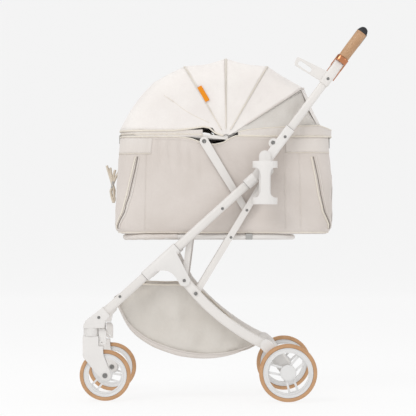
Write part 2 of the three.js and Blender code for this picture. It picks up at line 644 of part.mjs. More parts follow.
// The upper half of the hinge grips the handle tube and forks round the lower half's tongue.
function upperHinge() {
  const section = roundedRectangle(2 * MOULDING_HALF, 2 * BRACKET_HALF_DEPTH, 6);
  const body = bar(section, alongHandle(0), alongHandle(BRACKET_TOP));
  const eye = rod(HINGE, BRACKET_HALF_DEPTH, -MOULDING_HALF, MOULDING_HALF, 24);
  const lug = rod(alongHandle(52, 13), 13, -MOULDING_HALF + 4, MOULDING_HALF - 1, 20);
  const slot = sidePlate(linkOutline(alongHandle(-40), 24, HINGE, 25.5), TONGUE_WIDTH + 2 * RUNNING);
  return cut(
    join(body, eye, lug),
    slot,
    rod(HINGE, PIN_RADIUS + 1 + GAP, -2 * MOULDING_HALF, 2 * MOULDING_HALF),
    bar(handleSocket, alongHandle(28), alongHandle(BRACKET_TOP + 5)));
}

addPair('upper_hinge', upperHinge, mouldedWhite, TUBE_PLANE);

const GRIP_START = HANDLE_LENGTH + 4 - GRIP_LENGTH;
const TUBE_END = GRIP_START - 2;
const handleTube = () => bar(handleSection, alongHandle(28 + GAP), alongHandle(TUBE_END));
addPair('handle_tube', handleTube, frameWhite, TUBE_PLANE);

// The hook plate is a sleeve on the left handle tube with a slotted tab that points forwards.
const COLLAR_START = GRIP_START - 16;

function hookPlate() {
  const sleeveOutline = roundedRectangle(HANDLE_WIDTH + 5, HANDLE_DEPTH + 5, 7);
  const sleeve = bar(sleeveOutline, alongHandle(262), alongHandle(COLLAR_START - 2));
  const tab = [
    alongHandle(264.7, 8),
    alongHandle(298, 8),
    alongHandle(281, 99),
    alongHandle(276, 102),
    alongHandle(262, 98),
    alongHandle(257, 94),
  ];
  const slot = linkOutline(alongHandle(271, 55), 6.5, alongHandle(270, 84), 6.5);
  return cut(
    join(sleeve, sidePlate(tab, 5)),
    sidePlate(slot, 20),
    bar(handleSocket, alongHandle(255), alongHandle(COLLAR_START + 5)));
}

add('hook_plate', hookPlate(), frameWhite, -TUBE_PLANE);

// The collar is a metal ring under the grip with two short prongs that run down the tube.
function collar() {
  const outside = roundedRectangle(2 * GRIP_RADIUS + 4, 2 * GRIP_RADIUS + 4, 14);
  const ring = bar(outside, alongHandle(COLLAR_START), alongHandle(GRIP_START - GAP));
  const bore = bar(handleSocket, alongHandle(GRIP_START - 50), alongHandle(GRIP_START + 5));
  const prongOutline = roundedRectangle(10, 3, 1);
  const aside = GRIP_RADIUS + 0.2;
  const prong = (side) =>
    bar(prongOutline, alongHandle(COLLAR_START - 20, side * aside), alongHandle(GRIP_START - 4, side * aside));
  return cut(join(ring, prong(-1), prong(1)), bore);
}

addPair('grip_collar', collar, roseGold, TUBE_PLANE);

function grip(side) {
  const section = new THREE.Shape().absarc(0, 0, GRIP_RADIUS, 0, 2 * Math.PI);
  const geometry = bar(section, alongHandle(GRIP_START), alongHandle(GRIP_START + GRIP_LENGTH));
  const barEnd = alongHandle(HANDLE_LENGTH);
  const socket = rod(barEnd, CROSS_BAR_RADIUS + GAP, side * -30, side * (GRIP_RADIUS - 6), 20);
  const mouth = bar(
    roundedRectangle(40, 2 * CROSS_BAR_RADIUS, 1),
    barEnd,
    alongHandle(HANDLE_LENGTH + 30),
    side * (GRIP_RADIUS - 26));
  return cut(geometry, socket, mouth);
}

addPair('grip', grip, leatherTan, TUBE_PLANE);

// The cross bar joins the grips and carries the fold button in a pocket in its middle.
const BUTTON_LENGTH = 30;
const BUTTON_DEPTH = 14;
const BUTTON_TRAVEL = 4;
const POD_HALF = 16;

function crossBar() {
  const half = TUBE_PLANE + GRIP_RADIUS - 6 - GAP;
  const podOutline = roundedRectangle(84, 2 * POD_HALF, 8);
  const pod = bar(podOutline, alongHandle(HANDLE_LENGTH - POD_HALF), alongHandle(HANDLE_LENGTH + POD_HALF));
  const pocket = bar(
    roundedRectangle(BUTTON_LENGTH + 2 * GAP, BUTTON_DEPTH + 2 * GAP, 3),
    alongHandle(HANDLE_LENGTH + POD_HALF - 10), alongHandle(HANDLE_LENGTH + POD_HALF + 10));
  return cut(join(rod(alongHandle(HANDLE_LENGTH), CROSS_BAR_RADIUS, -half, half, 20), pod), pocket);
}

add('cross_bar', crossBar(), softBlack);

const buttonBottom = HANDLE_LENGTH + POD_HALF - 10 + BUTTON_TRAVEL + RUNNING;
const buttonShape = roundedRectangle(BUTTON_LENGTH, BUTTON_DEPTH, 3);
add('fold_button', bar(buttonShape, alongHandle(buttonBottom), alongHandle(buttonBottom + 11)), softBlack);

// ---------------------------------------------------------------- rear legs

// The leg bows from its pivot down to a straight end inside the wheel housing.
function rearLeg() {
  const top = from(LEG_PIVOT, 130, 74);
  const bend = from(LEG_PIVOT, -49, 72);
  const run = from(LEG_END, 154, 92);
  const straight = from(LEG_END, 154, 40);
  const vector = ([x, z]) => new THREE.Vector3(x, 0, z);
  const path = new THREE.CurvePath();
  path.add(new THREE.LineCurve3(vector(top), vector(LEG_PIVOT)));
  path.add(new THREE.CubicBezierCurve3(vector(LEG_PIVOT), vector(bend), vector(run), vector(straight)));
  path.add(new THREE.LineCurve3(vector(straight), vector(LEG_END)));
  const section = roundedRectangle(LEG_WIDTH, LEG_DEPTH, 7);
  const settings = { steps: 12, curveSegments: 3, bevelEnabled: false, extrudePath: path };
  const tube = new THREE.ExtrudeGeometry(section, settings);
  return cut(tube, rod(LEG_PIVOT, PIN_RADIUS + GAP, -TUBE_PLANE, TUBE_PLANE));
}

addPair('rear_leg', rearLeg, frameWhite, TUBE_PLANE);

// The housing takes the leg's end and carries the wheel on a stub axle.
function wheelHousing(side) {
  const inner = TUBE_PLANE - MOULDING_HALF;
  const width = HOUSING_OUTER - inner;
  const middle = side * (inner + width / 2 - TUBE_PLANE);
  const start = from(LEG_END, 154, 12);
  const body = join(
    sidePlate(linkOutline(start, LEG_DEPTH / 2 + WALL, REAR_CROSS_TUBE, 17), width, middle),
    sidePlate(linkOutline(REAR_CROSS_TUBE, 17, REAR_AXLE, 17), width, middle));
  const socket = bar(
    roundedRectangle(LEG_WIDTH + 2 * GAP, LEG_DEPTH + 2 * GAP + 1, 7),
    from(LEG_END, 154, 60),
    from(LEG_END, -26, GAP + 0.5));
  const stubEnd = REAR_WHEEL_PLANE + REAR_TYRE_WIDTH / 2 - 6 - TUBE_PLANE;
  const stub = rod(REAR_AXLE, AXLE_RADIUS, middle, side * stubEnd);
  return join(cut(body, socket), stub);
}

addPair('wheel_housing', wheelHousing, mouldedWhite, TUBE_PLANE);

const rearCrossHalf = TUBE_PLANE - MOULDING_HALF - GAP;
add('rear_cross_tube', rod(REAR_CROSS_TUBE, REAR_CROSS_RADIUS, -rearCrossHalf, rearCrossHalf), frameWhite);

function brakePedal() {
  const tip = [REAR_CROSS_TUBE[0] + 46, REAR_CROSS_TUBE[1] - 10];
  return cut(
    join(
      rod(REAR_CROSS_TUBE, REAR_CROSS_RADIUS + 4, -30, 30),
      sidePlate(linkOutline(REAR_CROSS_TUBE, 5, tip, 3.5), 60)),
    rod(REAR_CROSS_TUBE, REAR_CROSS_RADIUS + RUNNING, -50, 50));
}

add('brake_pedal', brakePedal(), mouldedWhite);

// ---------------------------------------------------------------- wheels

const WHEEL_SEGMENTS = 32;

function tyre(radius, width, centre) {
  const seat = radius - TYRE_HEIGHT + GAP;
  const half = width / 2;
  return turned([
    [seat, -half + 2], [seat + 3, -half], [radius - 4, -half + 1.5], [radius, -half + 6],
    [radius, half - 6], [radius - 4, half - 1.5], [seat + 3, half], [seat, half - 2],
  ], centre, WHEEL_SEGMENTS);
}

// A wheel: a rim, three looped spokes of two bars each and a hub bored for the axle.
function wheel(radius, width, centre, boreStart, boreEnd, firstSpoke) {
  const rim = radius - TYRE_HEIGHT;
  const inner = rim - RIM_HEIGHT;
  const half = width / 2 - 1;
  const hubRadius = 0.28 * radius;
  const ring = turned([[inner, -half], [rim, -half], [rim, half], [inner, half]], centre, WHEEL_SEGMENTS);
  const hub = rod(centre, hubRadius, -half - 0.5, half + 0.5, 20);
  const barWidth = 0.08 * radius;
  const spread = 0.145 * radius;
  const spokes = [0, 120, 240].flatMap((turn) => [-1, 1].map((side) => {
    const angle = firstSpoke + turn;
    const start = from(from(centre, angle + 90, side * spread), angle, 0.1 * radius);
    const end = from(from(centre, angle + 90, side * spread * 0.86), angle, inner + 3);
    return bar(rectangle(9, barWidth), start, end);
  }));
  const bore = rod(centre, AXLE_RADIUS + GAP, boreStart, boreEnd);
  return cut(join(ring, hub, ...spokes), bore);
}

addPair('rear_tyre', () => tyre(REAR_RADIUS, REAR_TYRE_WIDTH, REAR_AXLE), tyreTan, REAR_WHEEL_PLANE);
addPair('rear_wheel', (side) => wheel(
  REAR_RADIUS, REAR_TYRE_WIDTH, REAR_AXLE, side * -REAR_TYRE_WIDTH, side * (REAR_TYRE_WIDTH / 2 - 6 + GAP), 46,
), wheelWhite, REAR_WHEEL_PLANE);
addPair('front_tyre', () => tyre(FRONT_RADIUS, FRONT_TYRE_WIDTH, FRONT_AXLE), tyreTan, CASTER_PLANE);
addPair('front_wheel', () => wheel(
  FRONT_RADIUS, FRONT_TYRE_WIDTH, FRONT_AXLE, -FRONT_TYRE_WIDTH, FRONT_TYRE_WIDTH, -12,
), wheelWhite, CASTER_PLANE);

// ---------------------------------------------------------------- casters

const CHEEK_THICKNESS = 5.5;
const CHEEK_GAP = FRONT_TYRE_WIDTH + 3;
const LOCK_FRONT = SWIVEL_X + BARREL_RADIUS + 1.5;

// The caster fork: a swivel crown above the wheel, a cheek on each side and the axle between them.
function casterFork() {
  const front = SWIVEL_X - BARREL_RADIUS - 1.5;
  const [x, z] = FRONT_AXLE;
  const cheek = new THREE.Shape();
  cheek.moveTo(front, SWIVEL_TOP);
  cheek.lineTo(front, z + 55);
  cheek.quadraticCurveTo(front, z + 48, front + 8, z + 42);
  cheek.lineTo(x - 22, z + 4);
  cheek.absarc(x + 1, z + 1, 15, radians(205), radians(390));
  cheek.lineTo(x - 4, z + 55);
  cheek.lineTo(x - 6, SWIVEL_TOP - 27);
  cheek.lineTo(LOCK_FRONT - RUNNING, SWIVEL_TOP - 27);
  cheek.lineTo(LOCK_FRONT - RUNNING, SWIVEL_TOP);
  const width = CHEEK_GAP + 2 * CHEEK_THICKNESS;
  const slotTop = CROWN_BOTTOM;
  const slot = [[front - 9, 0], [x + 60, 0], [x + 60, slotTop], [front - 9, slotTop]];
  const axle = rod(FRONT_AXLE, AXLE_RADIUS, -width / 2 - 2, width / 2 + 2);
  return join(cut(sidePlate(cheek, width), sidePlate(slot, CHEEK_GAP)), axle);
}

addPair('caster_fork', casterFork, mouldedWhite, CASTER_PLANE);

// The swivel lock is a small flip lever behind the barrel.
const LOCK_PIVOT = [LOCK_FRONT + 9.5, SWIVEL_TOP - 17];

function swivelLock() {
  const left = LOCK_FRONT + RUNNING;
  const right = left + 19;
  const outline = [
    [left, SWIVEL_TOP - 18], [left + 6, SWIVEL_TOP - 24], [right, SWIVEL_TOP - 24], [right, SWIVEL_TOP + 12],
    [right - 5, SWIVEL_TOP + 20], [left, SWIVEL_TOP + 20],
  ];
  return cut(sidePlate(outline, 22), rod(LOCK_PIVOT, 2.5, -20, 20));
}

addPair('swivel_lock', swivelLock, mouldedWhite, CASTER_PLANE);

// The origin lies on the floor under the middle of the whole stroller's box, cup holder included.
const frontReach = FRONT_AXLE[0] - FRONT_RADIUS;
const rearReach = from(alongHandle(HANDLE_LENGTH + POD_HALF), HANDLE_ANGLE - 90, POD_HALF)[0];
stroller.position.x = -(frontReach + rearReach) / 2;
const leftReach = HOLDER_PLANE - 1.5 + 2 * HOLDER_RADIUS;
const rightReach = REAR_WHEEL_PLANE + REAR_TYRE_WIDTH / 2;
stroller.position.y = (leftReach - rightReach) / 2;

export default stroller;
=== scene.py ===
# %% [markdown]
# # Pet stroller
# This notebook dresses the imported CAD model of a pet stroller. The frame and its joints come from the
# CAD. The hard parts keep their CAD shape and get rounded edges and materials; the soft goods, wheels,
# grips and small fittings are modelled here. Lengths are in metres, and sizes given in millimetres go
# through `mm`. -X is forwards, +Z is up, and the camera looks along +Y.

# %% Load the frame
import json
import math

import bmesh
import bpy
from mathutils import Matrix, Vector


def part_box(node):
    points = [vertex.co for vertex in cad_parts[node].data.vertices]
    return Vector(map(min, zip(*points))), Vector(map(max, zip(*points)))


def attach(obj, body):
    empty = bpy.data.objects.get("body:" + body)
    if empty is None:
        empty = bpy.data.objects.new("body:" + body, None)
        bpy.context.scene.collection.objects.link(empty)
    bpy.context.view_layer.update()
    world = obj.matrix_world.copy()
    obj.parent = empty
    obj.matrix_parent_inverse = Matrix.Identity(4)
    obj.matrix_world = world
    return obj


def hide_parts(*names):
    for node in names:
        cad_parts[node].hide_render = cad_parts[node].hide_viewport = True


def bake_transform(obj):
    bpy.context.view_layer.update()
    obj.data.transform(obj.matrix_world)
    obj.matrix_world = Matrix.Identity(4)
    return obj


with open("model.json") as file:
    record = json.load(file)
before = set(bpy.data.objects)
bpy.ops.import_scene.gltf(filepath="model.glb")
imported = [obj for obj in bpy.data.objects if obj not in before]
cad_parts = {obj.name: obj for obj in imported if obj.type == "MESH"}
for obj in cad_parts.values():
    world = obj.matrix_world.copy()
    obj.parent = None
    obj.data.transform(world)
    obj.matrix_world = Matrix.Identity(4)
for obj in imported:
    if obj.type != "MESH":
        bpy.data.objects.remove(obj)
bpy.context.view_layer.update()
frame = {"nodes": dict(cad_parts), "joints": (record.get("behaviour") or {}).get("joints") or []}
nodes = frame["nodes"]

# %% [markdown]
# ## Places
# Every place is measured from the middle of the cabin rim, because the whole frame is laid out from it.
# `at(x, y, z)` takes millimetres: x and y from the middle of the rim, and z from the floor.

# %% Places
rim_low, rim_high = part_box("cabin_rim")
MIDDLE = (rim_low + rim_high) / 2


def mm(value):
    return value / 1000


def at(x, y, z):
    return Vector((MIDDLE.x + mm(x), MIDDLE.y + mm(y), mm(z)))


def joint_place(name):
    joint = next(j for j in frame["joints"] if j["name"] == name)
    return Vector(joint["pos_m"])


def linear(hex_colour):
    """A #rrggbb colour as linear red, green, blue and alpha."""
    channels = [int(hex_colour[i:i + 2], 16) / 255 for i in (1, 3, 5)]
    return [c / 12.92 if c <= 0.04045 else ((c + 0.055) / 1.055) ** 2.4 for c in channels] + [1]


# %% [markdown]
# ## Materials
# Each material is built from nodes on object coordinates, which are metres here, so a pattern's size is
# stated as its real size. One helper adds a node and sets its sockets.

# %% Material helpers
def add_node(tree, kind, inputs=None, **settings):
    node = tree.nodes.new(kind)
    for name, value in settings.items():
        setattr(node, name, value)
    for name, value in (inputs or {}).items():
        socket = node.inputs[name]
        if isinstance(value, bpy.types.NodeSocket):
            tree.links.new(value, socket)
        else:
            socket.default_value = value
    return node


def new_material(name):
    """A material with an empty Principled shader, its tree and its object coordinates."""
    material = bpy.data.materials.new(name)
    material.use_nodes = True
    tree = material.node_tree
    shader = tree.nodes["Principled BSDF"]
    place = add_node(tree, "ShaderNodeTexCoord").outputs["Object"]
    return material, tree, shader, place


def noise(tree, place, size, detail=3.0, roughness=0.5):
    """Noise whose features are about `size` metres across."""
    inputs = {"Vector": place, "Scale": 1 / size, "Detail": detail, "Roughness": roughness}
    return add_node(tree, "ShaderNodeTexNoise", inputs).outputs["Fac"]


def mix_colour(tree, factor, first, second):
    node = add_node(tree, "ShaderNodeMix", data_type="RGBA")
    for socket, value in ((node.inputs[0], factor), (node.inputs[6], first), (node.inputs[7], second)):
        if isinstance(value, bpy.types.NodeSocket):
            tree.links.new(value, socket)
        else:
            socket.default_value = value
    return node.outputs[2]


def ramp(tree, value, low, high, to_low=0.0, to_high=1.0):
    inputs = {"Value": value, "From Min": low, "From Max": high, "To Min": to_low, "To Max": to_high}
    return add_node(tree, "ShaderNodeMapRange", inputs).outputs["Result"]


def bump(tree, shader, height, distance, strength=1.0, before=None):
    inputs = {"Height": height, "Distance": distance, "Strength": strength}
    if before is not None:
        inputs["Normal"] = before
    node = add_node(tree, "ShaderNodeBump", inputs)
    tree.links.new(node.outputs["Normal"], shader.inputs["Normal"])
    return node.outputs["Normal"]


def maths(tree, operation, first, second=0.0):
    node = add_node(tree, "ShaderNodeMath", operation=operation)
    for socket, value in zip(node.inputs, (first, second)):
        if isinstance(value, bpy.types.NodeSocket):
            tree.links.new(value, socket)
        else:
            socket.default_value = value
    return node.outputs[0]


# %% [markdown]
# ## Hard finishes
# Powder-coated tube has a faint orange peel. Moulded plastic has a finer, duller grain, and both are a
# little duller and darker where hands and dust have been.

# %% Hard finishes
def hard_finish(name, colour, roughness, grain, grain_height, metallic=0.0, variation=0.04):
    material, tree, shader, place = new_material(name)
    patches = noise(tree, place, 0.09, detail=4)
    dark = [c * (1 - variation) for c in linear(colour)[:3]] + [1]
    shader.inputs["Metallic"].default_value = metallic
    tree.links.new(mix_colour(tree, ramp(tree, patches, 0.35, 0.65), linear(colour), dark),
                   shader.inputs["Base Color"])
    rough = ramp(tree, noise(tree, place, 0.02), 0.3, 0.7, roughness - 0.05, roughness + 0.06)
    tree.links.new(rough, shader.inputs["Roughness"])
    bump(tree, shader, noise(tree, place, grain, detail=2), grain_height, 0.35)
    return material


frame_paint = hard_finish("frame_paint", "#e2deda", 0.38, mm(0.9), mm(0.05))
moulded_white = hard_finish("moulded_white", "#e3e0dd", 0.47, mm(0.4), mm(0.04))
wheel_white = hard_finish("wheel_white", "#dfdedd", 0.36, mm(0.5), mm(0.03))
black_plastic = hard_finish("soft_black", "#232327", 0.55, mm(0.3), mm(0.05))
rose_gold = hard_finish("rose_gold", "#c48460", 0.2, mm(1.5), mm(0.01), metallic=1.0)
steel = hard_finish("screw_steel", "#8b8a88", 0.3, mm(0.5), mm(0.01), metallic=1.0)
grey_plastic = hard_finish("grey_plastic", "#a9a7a4", 0.5, mm(0.4), mm(0.04))
# painted shade: the dark grey of the lines that stand for the shadow in the gap where a moulding ends on a
# tube
painted_gap_shade = hard_finish("painted_gap_shade", "#75716d", 0.7, mm(0.4), mm(0.02))

# %% [markdown]
# ## Tyres, leather and cloth
# The tyre is a tan foam with fine pores. The leather has a pebble of Voronoi cells. Cloth is a plain
# weave: two crossing waves with a thread every 0.4 mm, with slubs and slow creases over them.

# %% Soft finishes
def tyre_finish():
    material, tree, shader, place = new_material("tyre_tan")
    patches = noise(tree, place, 0.03, detail=5)
    tree.links.new(mix_colour(tree, ramp(tree, patches, 0.3, 0.7), linear("#c79c74"), linear("#ba8f68")),
                   shader.inputs["Base Color"])
    shader.inputs["Roughness"].default_value = 0.62
    pores = bump(tree, shader, noise(tree, place, mm(0.7), detail=4), mm(0.15), 0.4)
    bump(tree, shader, patches, mm(0.6), 0.2, before=pores)
    return material


def leather_finish():
    material, tree, shader, place = new_material("tan_leather")
    pebble = add_node(tree, "ShaderNodeTexVoronoi", {"Vector": place, "Scale": 1 / mm(1.3)})
    cells = pebble.outputs["Distance"]
    patches = noise(tree, place, 0.025, detail=5)
    tan = mix_colour(tree, ramp(tree, patches, 0.3, 0.7), linear("#caa581"), linear("#b98f6a"))
    tree.links.new(mix_colour(tree, ramp(tree, cells, 0.35, 0.8), tan, linear("#a37b58")),
                   shader.inputs["Base Color"])
    shader.inputs["Roughness"].default_value = 0.5
    bump(tree, shader, cells, mm(0.18), 0.45)
    return material


def cloth_finish(name, light, dark, thread=0.8, weave_height=0.12, open_share=0.0, crease_depth=4.0):
    """Plain-woven cloth. A mesh leaves `open_share` of each thread's width open."""
    material, tree, shader, place = new_material(name)
    turned = add_node(tree, "ShaderNodeVectorRotate", {"Vector": place, "Angle": math.radians(35)},
                      rotation_type="Z_AXIS").outputs["Vector"]
    parts = add_node(tree, "ShaderNodeSeparateXYZ", {"Vector": turned})
    along = maths(tree, "ADD", parts.outputs["X"], parts.outputs["Y"])
    waves = []
    for direction in (along, parts.outputs["Z"]):
        wave = maths(tree, "SINE", maths(tree, "MULTIPLY", direction, 2 * math.pi / mm(thread)))
        waves.append(maths(tree, "ABSOLUTE", wave))
    weave = maths(tree, "MULTIPLY", waves[0], waves[1])
    slubs = noise(tree, place, mm(6), detail=5, roughness=0.7)
    fade = noise(tree, place, 0.12, detail=3)
    base = mix_colour(tree, ramp(tree, fade, 0.3, 0.7), linear(light), linear(dark))
    worn = mix_colour(tree, maths(tree, "MULTIPLY", ramp(tree, slubs, 0.45, 0.75), 0.35), base, linear(dark))
    shaded = mix_colour(tree, maths(tree, "MULTIPLY", weave, 0.12), worn, linear(dark))
    tree.links.new(shaded, shader.inputs["Base Color"])
    shader.inputs["Roughness"].default_value = 0.9
    shader.inputs["Sheen Weight"].default_value = 0.25
    shader.inputs["Sheen Roughness"].default_value = 0.5
    shader.inputs["Specular IOR Level"].default_value = 0.25
    if open_share:
        hole = maths(tree, "LESS_THAN", maths(tree, "MAXIMUM", waves[0], waves[1]), open_share)
        tree.links.new(maths(tree, "SUBTRACT", 1.0, hole), shader.inputs["Alpha"])
    threads = bump(tree, shader, weave, mm(weave_height), 0.5)
    creases = noise(tree, place, 0.05, detail=3)
    bump(tree, shader, creases, mm(crease_depth), 0.6, before=threads)
    return material


tyre_tan = tyre_finish()
tan_leather = leather_finish()
cabin_cloth = cloth_finish("cloth", "#d9d1cb", "#cfc6bf")
band_cloth = cloth_finish("band_cloth", "#dfd9d4", "#d6cec7")
hood_cloth = cloth_finish("hood_cloth", "#efebe7", "#e4deda", crease_depth=6.0)
mesh_cloth = cloth_finish("mesh_cloth", "#e2ded9", "#d0cac3", thread=1.6, weave_height=0.3, open_share=0.3)
basket_cloth = cloth_finish("basket_cloth", "#d9d4cd", "#cec8c0", crease_depth=9.0)
piping_cloth = cloth_finish("piping_cloth", "#e9e2d6", "#ddd5c8", thread=0.6)
zip_cloth = cloth_finish("zip_cloth", "#8f8780", "#7c746d", thread=0.6)
strap_cloth = cloth_finish("strap_cloth", "#ddd3c4", "#cfc3b2", thread=1.2, weave_height=0.3)
tag_cloth = cloth_finish("tag_cloth", "#ef9a22", "#df8517", thread=0.6)
print("materials:", ", ".join(material.name for material in bpy.data.materials))

# %% [markdown]
# ## Hard parts from the CAD
# A CAD part keeps its mesh. Modifiers weld it, round its edges and shade it smooth by angle, so that a
# moulding has soft corners and a tube looks round.

# %% Dress the CAD parts
SOFT_ANGLE = math.radians(32)


def smooth_by_angle():
    """A node group that shades faces smooth and keeps edges sharper than SOFT_ANGLE hard."""
    group = bpy.data.node_groups.new("smooth_by_angle", "GeometryNodeTree")
    group.interface.new_socket("Geometry", in_out="INPUT", socket_type="NodeSocketGeometry")
    group.interface.new_socket("Geometry", in_out="OUTPUT", socket_type="NodeSocketGeometry")
    source = add_node(group, "NodeGroupInput").outputs[0]
    angle = add_node(group, "GeometryNodeInputMeshEdgeAngle").outputs["Unsigned Angle"]
    is_sharp = add_node(group, "FunctionNodeCompare", data_type="FLOAT", operation="GREATER_THAN")
    group.links.new(angle, is_sharp.inputs[0])
    is_sharp.inputs[1].default_value = SOFT_ANGLE
    faces = add_node(group, "GeometryNodeSetShadeSmooth", {"Geometry": source, "Shade Smooth": True},
                     domain="FACE")
    edges = add_node(group, "GeometryNodeSetShadeSmooth",
                     {"Geometry": faces.outputs[0], "Selection": is_sharp.outputs[0], "Shade Smooth": False},
                     domain="EDGE")
    output = add_node(group, "NodeGroupOutput")
    group.links.new(edges.outputs[0], output.inputs[0])
    return group


smoothing = smooth_by_angle()


def soften(piece, bevel, segments=2):
    weld = piece.modifiers.new("weld", "WELD")
    weld.merge_threshold = mm(0.01)
    if bevel:
        edge = piece.modifiers.new("edge", "BEVEL")
        edge.width = bevel
        edge.segments = segments
        edge.limit_method = "ANGLE"
        edge.angle_limit = SOFT_ANGLE
        edge.miter_outer = "MITER_ARC"
        edge.use_clamp_overlap = True
    shade = piece.modifiers.new("shade", "NODES")
    shade.node_group = smoothing


def paint(piece, material):
    piece.data.materials.clear()
    piece.data.materials.append(material)


SIDES = ("left", "right")


def side_of(side):
    return -1 if side == "left" else 1


def dress(names, material, bevel):
    for name in names:
        for node in [n for n in nodes if n == name or n in (f"{name}_left", f"{name}_right")]:
            paint(nodes[node], material)
            soften(nodes[node], bevel)


dress(["main_tube", "strut", "rim_arm", "handle_tube", "rear_leg"], frame_paint, mm(0.8))
dress(["front_cross_tube", "rear_cross_tube", "base_ring", "cabin_rim"], frame_paint, mm(0.5))
dress([f"hood_hoop_{i}" for i in range(1, 6)], frame_paint, mm(0.3))
dress(["hook_plate"], frame_paint, mm(0.9))
dress(["frame_hub", "front_head", "lower_hinge", "upper_hinge", "wheel_housing"], moulded_white, mm(1.4))
dress(["caster_fork", "brake_pedal"], moulded_white, mm(1.2))
dress(["swivel_lock", "cup_holder"], moulded_white, mm(1.0))
dress(["cross_bar", "fold_button"], black_plastic, mm(1.2))
dress(["grip_collar"], rose_gold, mm(0.8))

# %% [markdown]
# ## Building pieces
# A piece is one mesh built in code and carried by one CAD body. Helpers add a lathe, a bar or a swept
# tube to a bmesh; `make_piece` turns that into an object with its material and its body.

# %% Piece helpers
pieces_made = []


def tell(step):
    """Prints how far the model has come."""
    print(f"{step}: {len(pieces_made)} pieces so far")


def make_piece(name, mesh_builder, material, body, stands_for=(), bevel=None, thickness=None,
               recalculate=True):
    """Builds a mesh with mesh_builder(bm)."""
    bm = bmesh.new()
    mesh_builder(bm)
    bmesh.ops.remove_doubles(bm, verts=bm.verts, dist=mm(0.002))
    bmesh.ops.dissolve_degenerate(bm, edges=bm.edges, dist=mm(0.002))
    if recalculate:
        bmesh.ops.recalc_face_normals(bm, faces=bm.faces)
    mesh = bpy.data.meshes.new(name)
    bm.to_mesh(mesh)
    bm.free()
    mesh.polygons.foreach_set("use_smooth", [True] * len(mesh.polygons))
    piece = bpy.data.objects.new(name, mesh)
    bpy.context.scene.collection.objects.link(piece)
    paint(piece, material)
    if thickness:
        solid = piece.modifiers.new("thickness", "SOLIDIFY")
        solid.thickness = thickness
        solid.offset = -1
    if bevel is not None:
        soften(piece, bevel)
    if body:
        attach(piece, body)
    if stands_for:
        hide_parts(*stands_for)
    pieces_made.append(name)
    return piece


def grid(bm, point, columns, rows, closed=False):
    """A sheet of quads through point(u, v), with u and v from 0 to 1. `closed` joins its two ends."""
    count = columns if closed else columns + 1
    verts = [[bm.verts.new(point(i / columns, j / rows)) for j in range(rows + 1)] for i in range(count)]
    for i in range(columns):
        for j in range(rows):
            after = (i + 1) % count
            bm.faces.new((verts[i][j], verts[after][j], verts[after][j + 1], verts[i][j + 1]))
    return verts


def lathe(bm, profile, centre, segments=96):
    """A solid turned about the Y axis through `centre`, from a closed profile of (radius, y)."""
    count = len(profile)

    def point(u, v):
        radius, y = profile[round(v * count) % count]
        angle = 2 * math.pi * u
        return centre + Vector((radius * math.cos(angle), y, radius * math.sin(angle)))

    grid(bm, point, segments, count, closed=True)


def rounded(profile, radius, steps=4):
    """A closed profile with each corner rounded."""
    result = []
    count = len(profile)
    for i, corner in enumerate(profile):
        corner = Vector(corner)
        before = Vector(profile[i - 1]) - corner
        after = Vector(profile[(i + 1) % count]) - corner
        if corner.x < mm(0.01):
            result.append(tuple(corner))
            continue
        reach = min(radius, before.length / 2.2, after.length / 2.2)
        first, last = corner + before.normalized() * reach, corner + after.normalized() * reach
        for step in range(steps + 1):
            t = step / steps
            result.append(tuple(first * (1 - t) ** 2 + corner * 2 * t * (1 - t) + last * t ** 2))
    return result


def sweep(bm, points, radius, sides=10, closed=False):
    """A round tube through points. radius is a number, or a function of the share of the way along."""
    points = [Vector(p) for p in points]
    count = len(points)
    up = None
    rings = []
    for i, place in enumerate(points):
        if closed:
            along = points[(i + 1) % count] - points[i - 1]
        else:
            along = points[min(i + 1, count - 1)] - points[max(i - 1, 0)]
        along.normalize()
        if up is None:
            up = along.cross(Vector((0.0, 0.0, 1.0)) if abs(along.z) < 0.9 else Vector((1.0, 0.0, 0.0)))
        up = (up - along * up.dot(along)).normalized()
        side = along.cross(up)
        size = radius(i / max(count - 1, 1)) if callable(radius) else radius
        ring = []
        for k in range(sides):
            turn = 2 * math.pi * k / sides
            ring.append(bm.verts.new(place + (up * math.cos(turn) + side * math.sin(turn)) * size))
        rings.append(ring)
    for i in range(count if closed else count - 1):
        first, second = rings[i], rings[(i + 1) % count]
        for k in range(sides):
            bm.faces.new((first[k], first[(k + 1) % sides], second[(k + 1) % sides], second[k]))
    if not closed:
        bm.faces.new(list(reversed(rings[0])))
        bm.faces.new(rings[-1])


def block(bm, centre, size, turn=None):
    """A box; `turn` is a rotation matrix about its centre."""
    turn = turn or Matrix.Identity(3)
    verts = [bm.verts.new(centre + turn @ Vector([size[k] * sign[k] / 2 for k in range(3)]))
             for sign in [(x, y, z) for x in (-1, 1) for y in (-1, 1) for z in (-1, 1)]]
    for face in ((0, 1, 3, 2), (4, 6, 7, 5), (0, 4, 5, 1), (2, 3, 7, 6), (0, 2, 6, 4), (1, 5, 7, 3)):
        bm.faces.new([verts[k] for k in face])


def turn_in_side_view(degrees):
    """Turns X towards Z, as seen with +X to the right and +Z up."""
    return Matrix.Rotation(math.radians(-degrees), 3, "Y")


def polar(centre, degrees, radius, y=0.0):
    """A point in the side view at an angle above +X, moved y sideways."""
    angle = math.radians(degrees)
    return Vector((centre.x + radius * math.cos(angle), centre.y + y, centre.z + radius * math.sin(angle)))


def resample(points, step):
    """Points at an even spacing along a polyline."""
    points = [Vector(p) for p in points]
    lengths = [(b - a).length for a, b in zip(points, points[1:])]
    total = sum(lengths)
    count = max(2, round(total / step) + 1)
    result, index, walked = [], 0, 0.0
    for k in range(count):
        target = total * k / (count - 1)
        while index < len(lengths) - 1 and walked + lengths[index] < target:
            walked += lengths[index]
            index += 1
        share = (target - walked) / lengths[index] if lengths[index] else 0
        result.append(points[index].lerp(points[index + 1], min(share, 1)))
    return result


